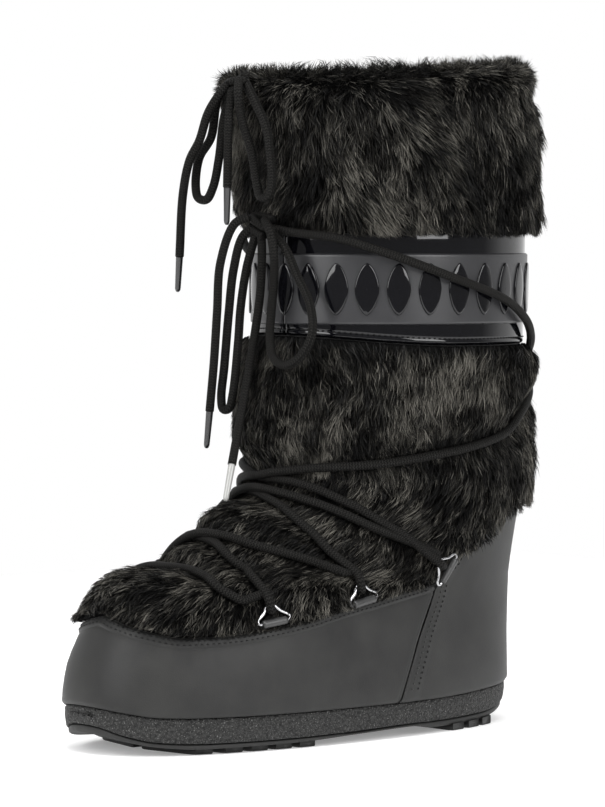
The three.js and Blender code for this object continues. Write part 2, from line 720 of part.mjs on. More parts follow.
// Shaft band with its front seam, and the strip of raised lozenges on it
const BAND_TOP = BAND_BOTTOM + BAND_HEIGHT
const bandLow = angle => BAND_BOTTOM + BAND_RISE * Math.max(0, Math.cos(radians(angle))) ** 2
const seamPoint = surface(5, BAND_BOTTOM)
const slit = solid(
  new THREE.BoxGeometry(SEAM_SLIT, SHAFT_DEPTH / 4, 2 * BAND_HEIGHT),
  new THREE.Matrix4().makeTranslation(seamPoint.x, seamPoint.y, (BAND_BOTTOM + BAND_TOP) / 2),
)
const band = slab({
  looped: true,
  place: ringPlace(bandLow, () => BAND_TOP),
  rows: [{ t: 0, outer: 0, inner: -OVERLAY }, { t: 1, outer: 0, inner: -OVERLAY }],
}).subtract(slit)
const stripMiddle = (BAND_BOTTOM + BAND_TOP) / 2
const stripOuter = CLEARANCE + STRIP_THICK
const lozengeOutline = new THREE.Shape([
  new THREE.Vector2(0, -LOZENGE_HEIGHT / 2), new THREE.Vector2(LOZENGE_WIDTH / 2, 0),
  new THREE.Vector2(0, LOZENGE_HEIGHT / 2), new THREE.Vector2(-LOZENGE_WIDTH / 2, 0),
])
const lozenges = Array.from({ length: LOZENGES }, (unused, i) => {
  const angle = (i * 360) / LOZENGES
  const normal = outward(angle, stripMiddle)
  const across = new THREE.Vector3(0, 0, 1).cross(normal).normalize()
  const matrix = new THREE.Matrix4().makeBasis(across, normal.clone().cross(across), normal)
  matrix.setPosition(skin(angle, stripMiddle, CLEARANCE))
  const depth = STRIP_THICK + LOZENGE_PROUD
  return solid(new THREE.ExtrudeGeometry(lozengeOutline, { depth, bevelEnabled: false }), matrix)
})
const strip = unite([
  slab({
    looped: true,
    place: ringPlace(
      () => stripMiddle - STRIP_HEIGHT / 2,
      () => stripMiddle + STRIP_HEIGHT / 2,
    ),
    rows: [
      { t: 0, outer: stripOuter, inner: CLEARANCE },
      { t: 1, outer: stripOuter, inner: CLEARANCE },
    ],
  }),
  ...lozenges,
]).subtract(slit)

// Fur of the foot, from rand and counter up to the ankle lace, and of the ankle up to the band
const ankleLine = lineRound(ANKLE_LINE, INSTEP_HEIGHT)
const footFur = unite([
  slab({
    looped: true,
    place: ringPlace(() => 0.3 * INSTEP_HEIGHT, angle => ankleLine(angle) - CLEARANCE),
    rows: [0, 0.28, 0.42, 0.51, 0.6, 0.72, 0.86, 1].map(t => (
      { t, outer: furLift(FOOT_FUR), inner: DEEP })),
  }),
  ...tufts({
    count: 20,
    full: FOOT_FUR,
    low: angle => Math.max(randTop(angle), counterTop(angle) * (angle > 104)) + 14,
    high: angle => ankleLine(angle) - 8,
  }),
]).subtract(formUnderOverlay).subtract(overlayRoom).subtract(laceRoom).subtract(ringRoom)
const ankleFur = unite([
  slab({
    looped: true,
    place: ringPlace(angle => ankleLine(angle) + CLEARANCE, angle => bandLow(angle) - CLEARANCE),
    rows: [0, 0.25, 0.6, 0.93, 1].map(t => ({
      t,
      outer: (angle, z) => furLift(ANKLE_FUR)(angle, z) * (t === 1 ? 0.6 : 1),
      inner: DEEP,
    })),
  }),
  ...tufts({
    count: 10,
    full: ANKLE_FUR,
    low: angle => ankleLine(angle) + 18,
    high: angle => bandLow(angle) - 4,
  }),
]).subtract(formUnderOverlay).subtract(laceRoom)

// Bows and free ends
function knotSolid({ at, size }, extra) {
  const radii = size.map(value => value / 2 + extra)
  const matrix = new THREE.Matrix4().makeTranslation(...at).scale(new THREE.Vector3(...radii))
  return solid(new THREE.SphereGeometry(1, 8, 6), matrix)
}
const knotRoom = knotSolid(COLLAR_KNOT, CLEARANCE).add(knotSolid(BOW_KNOT, CLEARANCE))
const cords = CORDS.map(cord => {
  const path = cord.points.map(point => new THREE.Vector3(...point))
  return { ...cord, path, solid: tube(path, LACE / 2, cord.steps).subtract(knotRoom) }
})
const cordRoom = unite(cords.map(({ path, steps }) => tube(path, LACE / 2 + CLEARANCE, steps)))
function agletSolid({ path }) {
  const end = path.at(-1)
  const curveOfCord = new THREE.CatmullRomCurve3(path, false, 'centripetal')
  const direction = curveOfCord.getTangentAt(1)
  const turn = new THREE.Quaternion().setFromUnitVectors(new THREE.Vector3(0, 1, 0), direction)
  const middle = end.clone().addScaledVector(direction, CLEARANCE + AGLET_LENGTH / 2)
  const matrix = new THREE.Matrix4().compose(middle, turn, new THREE.Vector3(1, 1, 1))
  return solid(new THREE.CylinderGeometry(AGLET / 2, AGLET / 2.6, AGLET_LENGTH, 8), matrix)
}

// Cuff of deep fur: over the rim, with a lining that tucks down inside the upper
const rimAt = angle => rim(surface(angle, RIM_HEIGHT).y)
const fringe = BAND_TOP + CLEARANCE
const fleece = [
  { share: 0, lift: 0.5 * COLLAR_FUR },
  { share: 0.07, lift: 0.85 * COLLAR_FUR },
  { share: 0.3, lift: COLLAR_FUR },
  { share: 0.75, lift: COLLAR_FUR },
  { share: 0.93, lift: 0.8 * COLLAR_FUR },
  { share: 1, lift: 0.2 * COLLAR_FUR },
]
const liningLift = innerSink - CLEARANCE - COLLAR_LINING
const cuff = stack(Array.from({ length: COLUMNS }, (unused, i) => {
  const angle = ((i + 0.5) * 360) / COLUMNS
  const top = rimAt(angle) + COLLAR_TOP
  const outside = fleece.map(({ share, lift }) =>
    skin(angle, THREE.MathUtils.lerp(fringe, top, share), lift))
  const inside = [
    skin(angle, fringe, liningLift),
    skin(angle, top - COLLAR_LINING / 2, liningLift),
  ]
  return [...outside.reverse(), ...inside]
}), true)
const liningRoom = form(innerSink - CLEARANCE, INNER_COLUMNS)
  .subtract(under(rim, RIM_STATIONS, -COLLAR_TUCK))
const upperRoom = formUnderOverlay
  .intersect(under(rim, RIM_STATIONS, CLEARANCE))
  .subtract(liningRoom)
const collarTufts = tufts({
  count: 15,
  full: COLLAR_FUR,
  low: () => BAND_TOP + 12,
  high: () => RIM_HEIGHT - 4,
})
const collarFur = unite([cuff, ...collarTufts])
  .subtract(upperRoom)
  .subtract(laceRoom)
  .subtract(knotRoom)
  .subtract(cordRoom)

// Named meshes of the boot
const boot = new THREE.Group()
function add(name, piece, color, roughness, metalness = 0) {
  const source = piece.getMesh()
  const geometry = new THREE.BufferGeometry()
  geometry.setAttribute('position', new THREE.BufferAttribute(source.vertProperties.slice(), 3))
  geometry.setIndex(new THREE.BufferAttribute(source.triVerts.slice(), 1))
  const mesh = new THREE.Mesh(
    geometry,
    new THREE.MeshStandardMaterial({ color, roughness, metalness }),
  )
  mesh.name = name
  boot.add(mesh)
  return mesh
}
add('upper', upper, 0x1b1b1d, 0.9)
add('insole', insole, 0x4a4845, 0.9)
add('midsole', midsole, 0x3d3d3c, 0.85)
add('outsole', outsole, 0x343433, 0.8)
add('forefoot_rand', rand, 0x454543, 0.6)
add('heel_counter', counter, 0x454543, 0.6)
add('foot_fur', footFur, 0x201f1f, 1)
add('ankle_fur', ankleFur, 0x201f1f, 1)
add('shaft_band', band, 0x0c0c0e, 0.12)
add('band_strip', strip, 0x3a3a3c, 0.35)
add('collar_fur', collarFur, 0x201f1f, 1)
for (const [sideName, side] of [['left', 1], ['right', -1]]) {
  RINGS.forEach((row, i) => {
    const frame = ringFrame(row, side)
    add(`ring_${sideName}_${i + 1}`, ringWire(frame), 0xb9b9bd, 0.2, 1)
    add(`keeper_${sideName}_${i + 1}`, keeperTube(frame), 0x242424, 0.6)
  })
}
add('lace_crossings', laceSolid.subtract(knotRoom), 0x141414, 0.8)

// Parts that hang free, and so don't set where the origin is
boot.updateMatrixWorld(true)
const box = new THREE.Box3().setFromObject(boot, true)
add('collar_knot', knotSolid(COLLAR_KNOT, 0), 0x141414, 0.8)
add('bow_knot', knotSolid(BOW_KNOT, 0), 0x141414, 0.8)
for (const cord of cords) {
  add(cord.name, cord.solid, 0x141414, 0.8)
  if (cord.aglet) add(`${cord.name}_aglet`, agletSolid(cord), 0x8c8c8c, 0.3)
}

// Origin on the floor, in the middle of the boot
boot.position.set(-(box.min.x + box.max.x) / 2, -(box.min.y + box.max.y) / 2, 0)

export default boot
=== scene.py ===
"""Tall snow boot with fake-fur foot, ankle and collar, a patent band round the shaft, a rubber
rand and heel, a thick pebbled sole, and round laces tied in two bows. Sizes are millimetres
until a mesh is made; the toe points to -Y and +X is the wearer's left side."""

import json

import bpy
import numpy as np
from mathutils import Matrix

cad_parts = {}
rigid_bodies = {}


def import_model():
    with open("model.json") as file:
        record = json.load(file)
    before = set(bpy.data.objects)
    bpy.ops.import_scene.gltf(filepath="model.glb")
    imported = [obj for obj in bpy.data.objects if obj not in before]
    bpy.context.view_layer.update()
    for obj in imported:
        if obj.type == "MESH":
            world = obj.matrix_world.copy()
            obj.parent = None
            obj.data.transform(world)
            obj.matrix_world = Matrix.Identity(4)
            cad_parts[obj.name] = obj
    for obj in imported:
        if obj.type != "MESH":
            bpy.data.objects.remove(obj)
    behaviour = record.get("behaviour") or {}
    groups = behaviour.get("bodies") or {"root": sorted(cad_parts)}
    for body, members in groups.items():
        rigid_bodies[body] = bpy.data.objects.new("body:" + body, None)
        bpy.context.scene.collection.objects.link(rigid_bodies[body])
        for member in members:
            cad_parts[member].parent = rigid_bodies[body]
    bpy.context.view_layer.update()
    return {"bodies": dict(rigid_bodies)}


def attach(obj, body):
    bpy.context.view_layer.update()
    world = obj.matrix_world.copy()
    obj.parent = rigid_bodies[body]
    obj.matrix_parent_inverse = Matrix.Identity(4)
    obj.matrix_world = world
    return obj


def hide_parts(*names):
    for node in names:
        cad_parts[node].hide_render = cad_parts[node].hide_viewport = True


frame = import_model()
root = next(iter(frame["bodies"]))

# The picture: the camera stands low at the toe's left, far back, and looks level at the shaft.
# The object sits a few pixels right of the middle of the frame.
AZIMUTH, ELEVATION, DISTANCE = np.radians(51.0), np.radians(2.35), 2.1
AIM = np.array([0.0, 0.0, 0.1735])
FOCAL_PX, LONG_SIDE_PX, SENSOR, RIGHT_PX = 3990.0, 807.0, 36.0, 3.0

backward = np.array([
    np.sin(AZIMUTH) * np.cos(ELEVATION), -np.cos(AZIMUTH) * np.cos(ELEVATION), np.sin(ELEVATION)])
rightward = np.array([np.cos(AZIMUTH), np.sin(AZIMUTH), 0.0])
upward = np.cross(backward, rightward)
stand = AIM + DISTANCE * backward - rightward * RIGHT_PX * DISTANCE / FOCAL_PX
camera = bpy.data.objects.new("camera", bpy.data.cameras.new("camera"))
camera.data.sensor_width = SENSOR
camera.data.lens = SENSOR * FOCAL_PX / LONG_SIDE_PX
camera.matrix_world = Matrix(np.vstack([
    np.column_stack([rightward, upward, backward, stand]), [0, 0, 0, 1]]).tolist())
bpy.context.scene.collection.objects.link(camera)
bpy.context.scene.camera = camera


# Bows and free ends of the laces: round polyester braid, 4.6 mm thick, sixteen strands that
# cross in chevrons. Each bow has two loops and two ends that come out of one tight knot, and
# each end closes in a plastic tip pressed on.
MOVE_Y = 0.8215
LACE, TIP, TIP_LENGTH, TIP_TAPER, TIP_OVERLAP = 4.6, 3.9, 20.0, 0.22, 1.5
BRAID_COLUMNS, BRAID_PITCH, BRAID_SLANT = 8, 1.5, 1.2
KNOT_THICKNESS, KNOT_TURNS = 0.92, 1.7
COLLAR_KNOT, BOW_KNOT = (-1, -46, 340), (5, -33, 267)
COLLAR_CORDS = {
    "collar_loop_left": [
        (-5, -47, 340), (-11, -50, 334), (-16, -51, 313), (-25, -52, 302), (-28, -52, 288),
        (-26.5, -51.5, 281.5), (-21.5, -50, 280.5), (-17, -49, 287), (-12, -49, 302),
        (-8, -49, 322), (-3.5, -48, 335)],
    "collar_end_left": [
        (-3, -50.5, 340), (-5.5, -54.5, 334), (-11, -57, 325), (-17, -58, 311), (-24, -59, 301),
        (-31, -58, 284), (-42, -52, 251)],
    "collar_loop_right": [
        (4, -48.5, 342), (8, -52, 334), (7, -49, 322), (9, -44, 305), (12, -43, 289),
        (14.5, -42.5, 282), (19.5, -41.5, 282), (22, -41, 289), (22, -42, 302), (20, -43, 317),
        (13, -45, 331), (4, -44, 341)],
    "collar_end_right": [(0, -50, 337), (1.5, -53, 322), (-2, -51, 303), (-5, -49, 287)],
}
BOW_CORDS = {
    "bow_end_left": [
        (0, -38.5, 271.5), (-5, -44, 268), (-12, -48, 248), (-15, -48, 222), (-19, -47, 196),
        (-24, -46, 170)],
    "bow_loop_left": [
        (0, -36, 266.5), (-4.5, -39.5, 261), (-10, -41, 244), (-14, -41, 222), (-18, -41, 193),
        (-20.5, -41, 177), (-19, -41, 171), (-14.5, -40.5, 171.5), (-12, -40, 179),
        (-10, -38, 206), (-9, -37, 225), (-4, -37, 245), (2, -36, 262)],
    "bow_end_right": [
        (7, -36, 263), (5, -34, 252), (1, -32, 232), (-2, -33, 212), (-4, -36, 190),
        (-4, -42, 164), (0, -50, 143)],
    "bow_loop_right": [
        (9, -35.5, 270), (16, -37.5, 264), (18, -36.5, 252), (13, -32.5, 238), (9, -31, 222),
        (9, -32, 209), (15, -34, 198), (26, -34, 195), (35, -32, 200), (40, -29, 211),
        (36, -27, 226), (26, -28, 242), (20, -30.5, 255), (11, -33, 263.5)],
}


class Socket:
    """A shader socket that takes part in sums: an operator adds its Math node."""

    def __init__(self, finish, link):
        self.finish, self.link = finish, link

    def math(self, operation, *values):
        return self.finish.node("Math", {"operation": operation}, dict(enumerate(values)))

    def __add__(self, other):
        return self.math("ADD", self, other)

    def __sub__(self, other):
        return self.math("SUBTRACT", self, other)

    def __rsub__(self, other):
        return self.math("SUBTRACT", other, self)

    def __mul__(self, other):
        return self.math("MULTIPLY", self, other)

    def __pow__(self, other):
        return self.math("POWER", self, other)

    __radd__, __rmul__ = __add__, __mul__

    def clamped(self, low, high):
        """0 below low, 1 above high, straight between."""
        return self.finish.node("MapRange", {"clamp": True}, {0: self, 1: low, 2: high})


class Finish:
    """One material: a Principled shader and the nodes that vary it."""

    def __init__(self, name, color, roughness, **plain):
        self.material = bpy.data.materials.new(name)
        self.material.use_nodes = True
        self.shader = self.material.node_tree.nodes["Principled BSDF"]
        self.set(Base_Color=color, Roughness=roughness, **plain)

    def node(self, kind, settings, values, output=0):
        """Adds a node: its settings first, then the values or links of its sockets."""
        made = self.material.node_tree.nodes.new("ShaderNode" + kind)
        for key, value in settings.items():
            setattr(made, key, value)
        for key, value in values.items():
            self.join(value, made.inputs[key])
        return Socket(self, made.outputs[output])

    def join(self, value, socket):
        if isinstance(value, Socket):
            self.material.node_tree.links.new(value.link, socket)
        else:
            socket.default_value = value

    def set(self, **sockets):
        for key, value in sockets.items():
            name = key.replace("_", " ")
            if name in ("Base Color", "Sheen Tint", "Coat Tint") and isinstance(value, tuple):
                value = (*value, 1.0)
            self.join(value, self.shader.inputs[name])
        return self

    def mix(self, low, high, share):
        """Colour low where share is 0 and high where it is 1."""
        low, high = ((*c, 1.0) if isinstance(c, tuple) else c for c in (low, high))
        return self.node("Mix", {"data_type": "RGBA"}, {0: share, 6: low, 7: high}, 2)

    def place(self):
        return self.node("TexCoord", {}, {}, "Object")

    def chart(self):
        """The piece's own UV map, its two coordinates as sockets."""
        where = self.node("UVMap", {"uv_map": "chart"}, {})
        return [self.node("SeparateXYZ", {}, {0: where}, k) for k in (0, 1)]

    def noise(self, scale, detail=2.0, where=None):
        where = where or self.place()
        return self.node("TexNoise", {}, {"Vector": where, "Scale": scale, "Detail": detail})

    def bump(self, height, distance, strength=1.0):
        return self.set(Normal=self.node(
            "Bump", {}, {"Height": height, "Distance": distance, "Strength": strength}))


def smooth_line(points, spacing):
    """Centripetal Catmull-Rom curve through points, then points evenly spaced along it."""
    p = np.asarray(points, float)
    p = np.vstack([2 * p[0] - p[1], p, 2 * p[-1] - p[-2]])
    gap = np.linalg.norm(np.diff(p, axis=0), axis=1) ** 0.5
    parts = []
    for i in range(1, len(p) - 2):
        d0, d1, d2 = gap[i - 1], gap[i], gap[i + 1]
        m1 = d1 * ((p[i] - p[i - 1]) / d0 - (p[i + 1] - p[i - 1]) / (d0 + d1)
                   + (p[i + 1] - p[i]) / d1)
        m2 = d1 * ((p[i + 1] - p[i]) / d1 - (p[i + 2] - p[i]) / (d1 + d2)
                   + (p[i + 2] - p[i + 1]) / d2)
        t = np.linspace(0, 1, 16, endpoint=False)[:, None]
        parts.append(p[i] + t * m1 + t**2 * (3 * (p[i + 1] - p[i]) - 2 * m1 - m2)
                     + t**3 * (2 * (p[i] - p[i + 1]) + m1 + m2))
    line = np.vstack([*parts, p[-2:-1]])
    along = np.concatenate([[0], np.cumsum(np.linalg.norm(np.diff(line, axis=0), axis=1))])
    at = np.linspace(0, along[-1], max(3, int(np.ceil(along[-1] / spacing)) + 1))
    return np.column_stack([np.interp(at, along, line[:, k]) for k in range(3)])


def make_piece(name, points, faces, finish, stands_for=(), chart=None):
    """A piece from points (n, 3) in millimetres and quads or triangles (m, 4 or 3) as arrays.
    It is moved into the part's frame, rides the boot and stands for its CAD nodes."""
    mesh = bpy.data.meshes.new(name)
    co = (np.asarray(points, float) + [0.0, MOVE_Y, 0.0]) * 0.001
    faces = [np.asarray(f, np.int32) for f in (faces if isinstance(faces, list) else [faces])]
    corners = np.concatenate([f.ravel() for f in faces])
    sizes = np.repeat([f.shape[1] for f in faces], [len(f) for f in faces])
    starts = np.concatenate([[0], np.cumsum(sizes)[:-1]])
    mesh.vertices.add(len(co))
    mesh.vertices.foreach_set("co", co.astype(np.float32).ravel())
    mesh.loops.add(len(corners))
    mesh.loops.foreach_set("vertex_index", corners)
    mesh.polygons.add(len(sizes))
    mesh.polygons.foreach_set("loop_start", starts.astype(np.int32))
    mesh.update(calc_edges=True)
    if chart is not None:
        layer = mesh.uv_layers.new(name="chart")
        layer.data.foreach_set("uv", np.asarray(chart, np.float32)[corners].ravel())
    mesh.validate()
    mesh.shade_smooth()
    mesh.materials.append(finish.material)
    piece = bpy.data.objects.new(name, mesh)
    bpy.context.scene.collection.objects.link(piece)
    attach(piece, root)
    if stands_for:
        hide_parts(*stands_for)
    return piece


def grid_faces(rows, columns, across_closed, along_closed=False):
    """Quads of a grid of rows by columns, points row after row. across_closed joins the last
    column to the first, along_closed the last row to the first."""
    r = np.arange(rows if along_closed else rows - 1)[:, None]
    c = np.arange(columns if across_closed else columns - 1)[None, :]
    r1, c1 = (r + 1) % rows, (c + 1) % columns
    return np.stack([r * columns + c, r * columns + c1, r1 * columns + c1, r1 * columns + c],
                    axis=-1).reshape(-1, 4)


def loop_piece(name, loops, finish, stands_for, closed=True):
    """A piece from rings of points, joined round and, where closed, last to first."""
    return make_piece(name, loops.reshape(-1, 3), grid_faces(*loops.shape[:2], True, closed),
                      finish, stands_for)


def tube(name, line, radius, sides, finish, stands_for):
    """A round piece with closed ends: a circle of sides points carried along a line without
    twist, its chart the share of a turn and the metres along."""
    line = np.asarray(line, float)
    along = np.concatenate([[0], np.cumsum(np.linalg.norm(np.diff(line, axis=0), axis=1))])
    ahead = np.gradient(line, axis=0)
    ahead /= np.linalg.norm(ahead, axis=1)[:, None]
    side = np.cross(ahead, [0.31, -0.93, 0.21])
    side /= np.linalg.norm(side, axis=1)[:, None]
    carried = side[:-1] - ahead[1:] * (side[:-1] * ahead[1:]).sum(1)[:, None]
    twist = np.arctan2((np.cross(carried, side[1:]) * ahead[1:]).sum(1),
                       (carried * side[1:]).sum(1))
    twist = -np.concatenate([[0], np.cumsum(twist)])[:, None]
    side = side * np.cos(twist) + np.cross(ahead, side) * np.sin(twist)
    other = np.cross(ahead, side)
    turn = np.arange(sides) / sides
    reach = np.broadcast_to(np.asarray(radius, float).reshape(-1, 1, 1), (len(line), sides, 1))
    angle = 2 * np.pi * turn[None, :, None]
    points = line[:, None] + reach * (
        np.cos(angle) * side[:, None] + np.sin(angle) * other[:, None])
    chart = np.stack(np.broadcast_arrays(turn[None, :], along[:, None] * 0.001), -1)
    points, chart = points.reshape(-1, 3), chart.reshape(-1, 2)
    last = (len(line) - 1) * sides
    ring = np.arange(sides)
    following = (ring + 1) % sides
    start, end = len(points), len(points) + 1
    points = np.vstack([points, line[0], line[-1]])
    chart = np.vstack([chart, [0.5, 0], [0.5, along[-1] * 0.001]])
    faces = [grid_faces(len(line), sides, True),
             np.column_stack([following, ring, np.full(sides, start)]),
             np.column_stack([last + ring, last + following, np.full(sides, end)])]
    return make_piece(name, points, faces, finish, stands_for, chart)


def lace_finish(name):
    """Black braid: columns of small chevrons round the lace, with painted shade between the
    strands and a painted highlight on top of each strand.
    """
    finish = Finish(name, (0.006, 0.006, 0.007), 0.6, Specular_IOR_Level=0.08)
    turn, run = finish.chart()
    column = (turn * BRAID_COLUMNS).math("PINGPONG", turn * BRAID_COLUMNS, 0.5)
    step = (run * (1000 / BRAID_PITCH) + column * BRAID_SLANT) * (2 * np.pi)
    strand = step.math("COSINE", step) * 0.5 + 0.5
    crown_highlight = strand * (column * (0.5 - column)).clamped(0.0, 0.02)
    fuzz = finish.noise(1500.0)
    # Near black, with a painted highlight on the strand tops and painted shade between them.
    finish.set(Base_Color=finish.mix(
        (0.0010, 0.0010, 0.0011), (0.026, 0.025, 0.023),
        crown_highlight * (fuzz.clamped(0.2, 0.8) * 0.5 + 0.5)))
    return finish.bump(crown_highlight + fuzz * 0.3, 0.0004, 0.9)


lace_cloth = lace_finish("black_braid")
tip_plastic = Finish("tip_plastic", (0.012, 0.012, 0.013), 0.3, Coat_Weight=0.4)
tip_plastic.bump(tip_plastic.noise(500.0), 0.0001, 0.4)
bare_tip = Finish("clear_tip", (0.32, 0.32, 0.31), 0.25, Coat_Weight=0.5)
bare_tip.bump(bare_tip.noise(500.0), 0.0001, 0.4)


def knot_path(centre, size, tilt):
    """A tight wrap of one and a half turns round the cords: a helix inside the knot's size."""
    t = np.linspace(-0.5, 0.5, 30) * KNOT_TURNS
    wide, deep, high = (0.5 * s - LACE * 0.42 for s in size)
    x = wide * np.cos(2 * np.pi * t)
    y = -deep * np.sin(2 * np.pi * t)
    return np.column_stack([x, y, high * t * 1.1 + tilt * x * 0.3]) + centre


def add_bow(title, knot_at, knot_size, cords, tilt):
    """The knot of one bow, its loops and its ends with their tips."""
    knot = tube(title + "_knot_wrap", smooth_line(knot_path(knot_at, knot_size, tilt), 1.0),
                KNOT_THICKNESS * LACE / 2, 16, lace_cloth, [title + "_knot"])
    for name, route in cords.items():
        line = smooth_line(route, 1.0)
        piece = tube(name + "_braid", line, LACE / 2, 16, lace_cloth, [name])
        with_pieces = [knot] if name == next(iter(cords)) else []
        if "end" in name:
            ahead = line[-1] - line[-3]
            ahead /= np.linalg.norm(ahead)
            run = np.linspace(-TIP_OVERLAP, TIP_LENGTH, 24)[:, None]
            share = np.clip(run[:, 0] / TIP_LENGTH, 0, 1)
            radius = TIP / 2 * (1 - TIP_TAPER * share) * np.clip(
                (1.02 - share) * 12, 0.35, 1) ** 0.5
            shade = bare_tip if name == "bow_end_right" else tip_plastic
            with_pieces.append(tube(name + "_tip", line[-1] + run * ahead, radius, 14, shade,
                                    [name + "_aglet"]))


add_bow("collar", COLLAR_KNOT, (15, 11, 12), COLLAR_CORDS, 1.0)
add_bow("bow", BOW_KNOT, (19, 12, 13), BOW_CORDS, -1.0)


# The last: the smooth form that the whole boot is built on, as rounded sections up the foot and
# the shaft. A place on it is an angle from the toe, a height and a lift off the surface.
FOOT_LENGTH, BALL_WIDTH, INSTEP = 280.0, 112.0, 135.5
SHAFT_WIDTH, SHAFT_DEPTH, RIM = 132.0, 154.0, 346.5
FOOT_SECTIONS = np.array([
    (-0.040, 0.519, 0.450, 0.482, 2.40, 0.08), (0.159, 0.529, 0.464, 0.500, 2.40, 0.08),
    (0.306, 0.518, 0.463, 0.495, 2.40, 0.08), (0.417, 0.498, 0.464, 0.482, 2.35, 0.06),
    (0.491, 0.480, 0.468, 0.469, 2.30, 0.04), (0.601, 0.428, 0.471, 0.451, 2.25, 0.00),
    (0.631, 0.372, 0.472, 0.449, 2.20, -0.02), (0.661, 0.316, 0.473, 0.448, 2.20, -0.03),
    (0.734, 0.261, 0.477, 0.451, 2.15, -0.05), (0.819, 0.198, 0.485, 0.466, 2.05, -0.07),
    (0.908, 0.132, 0.489, 0.485, 2.00, -0.08), (1.000, 0.100, 0.486, 0.513, 2.00, -0.07)])
SHAFT_SECTIONS = np.array([
    (0.076, 1.039, 0.479, 0.458, -0.04), (0.327, 0.994, 0.475, 0.492, 0.0),
    (0.607, 1.000, 0.479, 0.500, 0.0), (1.000, 1.065, 0.464, 0.523, 0.0),
    (1.060, 1.070, 0.463, 0.525, 0.0)])
LAST_Z = np.concatenate([
    FOOT_SECTIONS[:, 0] * INSTEP, INSTEP + SHAFT_SECTIONS[:, 0] * (RIM - INSTEP)])
LAST = np.column_stack([
    np.concatenate([-FOOT_SECTIONS[:, 1] * FOOT_LENGTH,
                    SHAFT_SECTIONS[:, 2] * FOOT_LENGTH - SHAFT_SECTIONS[:, 1] * SHAFT_DEPTH]),
    np.concatenate([FOOT_SECTIONS[:, 2], SHAFT_SECTIONS[:, 2]]) * FOOT_LENGTH,
    np.concatenate([FOOT_SECTIONS[:, 3] * BALL_WIDTH, SHAFT_SECTIONS[:, 3] * SHAFT_WIDTH]),
    np.concatenate([FOOT_SECTIONS[:, 4], np.full(len(SHAFT_SECTIONS), 2.0)]),
    np.concatenate([FOOT_SECTIONS[:, 5], SHAFT_SECTIONS[:, 4]])])


def curve(x, y, at):
    """Smooth curve through rows (x, y) with no overshoot: each slope at a row is the harmonic
    mean of the slopes beside it."""
    x, y = np.asarray(x, float), np.asarray(y, float)
    y = y.reshape(len(x), -1)
    slope = np.diff(y, axis=0) / np.diff(x)[:, None]
    product = slope[:-1] * slope[1:]
    total = slope[:-1] + slope[1:]
    inner = np.where(product > 0, 2 * product / np.where(total == 0, 1, total), 0)
    bend = np.vstack([slope[:1], inner, slope[-1:]])
    at = np.clip(np.asarray(at, float), x[0], x[-1])
    i = np.clip(np.searchsorted(x, at, side="left") - 1, 0, len(x) - 2)
    span = (x[i + 1] - x[i])[..., None]
    t = ((at - x[i])[..., None]) / span
    made = ((1 + 2 * t) * (1 - t) ** 2 * y[i] + t * (1 - t) ** 2 * span * bend[i]
            + t * t * (3 - 2 * t) * y[i + 1] + t * t * (t - 1) * span * bend[i + 1])
    return made if made.shape[-1] > 1 else made[..., 0]


def surface(angle, z):
    """Point of the last: a rounded section, wider or narrower towards the toe by its taper."""
    angle, z = np.broadcast_arrays(np.asarray(angle, float), np.asarray(z, float))
    toe, heel, half, square, taper = np.moveaxis(curve(LAST_Z, LAST, z), -1, 0)
    across, along = np.sin(np.radians(angle)), np.cos(np.radians(angle))
    x = np.sign(across) * np.abs(across) ** (2 / square)
    y = np.sign(along) * np.abs(along) ** (2 / square)
    return np.stack([
        half * x * (1 + taper * y), (toe + heel) / 2 - (heel - toe) / 2 * y, z], -1)


def outward(angle, z):
    """Unit normal of the last there, from two small steps."""
    angle, z = np.broadcast_arrays(np.asarray(angle, float), np.asarray(z, float))
    round_it = surface(angle + 0.5, z) - surface(angle - 0.5, z)
    rising = surface(angle, z + 0.5) - surface(angle, z - 0.5)
    normal = np.cross(round_it, rising)
    return normal / np.linalg.norm(normal, axis=-1, keepdims=True)


def skin(angle, z, lift):
    """A place lifted off the last, by one lift or one for each place."""
    return surface(angle, z) + outward(angle, z) * np.asarray(lift, float)[..., None]


def ridge(x, at, width):
    """1 at a place and nothing beyond about two widths from it."""
    return np.exp(-((x - at) / width) ** 2)


def on_each_side(rows, scale):
    """A line round the boot, alike on both sides, through rows of angle and height."""
    table = np.array(rows, float)

    def line(angle):
        turned = np.abs((np.asarray(angle, float) + 180) % 360 - 180)
        return scale * curve(table[:, 0], table[:, 1], turned)
    return line


# The sole, moulded foam rubber in two layers: a cup with a pebbled sidewall, with painted shade
# in the hollows of the pebbling and pale specks painted as glints, and under it a tread plate
# with a smooth lip and two fields of lugs, arched between them.
SOLE_HEIGHT, CUP_INSET, LIP_INSET, LUG_GROOVE, LUG_INSET = 18.5, 1.6, 2.6, 7.0, 3.8
PINCH = 0.02
TOE_Y = -0.529 * FOOT_LENGTH
SOLE_LEVELS = np.array([
    (0.000, 1.324, 0.800, 0.560), (0.030, 1.189, 0.550, 0.390), (0.080, 1.059, 0.365, 0.230),
    (0.160, 1.016, 0.292, 0.141), (0.350, 0.995, 0.278, 0.141), (0.500, 0.989, 0.303, 0.205),
    (0.640, 0.989, 0.346, 0.249), (0.700, 0.995, 0.330, 0.141), (0.860, 1.070, 0.365, 0.170),
    (0.950, 1.135, 0.540, 0.340), (1.000, 1.162, 0.740, 0.540)])
LUG_ROWS = [
    (0.130, 0.034, 0.025), (0.190, 0.038, 0.020), (0.250, 0.038, 0.012), (0.310, 0.038, 0.004),
    (0.370, 0.038, -0.004), (0.740, 0.038, 0.010), (0.800, 0.038, 0.0), (0.860, 0.038, -0.012)]


def sole_level(column, y):
    """Height of a line of the sole at a distance along the foot."""
    share = curve(SOLE_LEVELS[:, 0], SOLE_LEVELS[:, column], (y - TOE_Y) / FOOT_LENGTH)
    return SOLE_HEIGHT * share


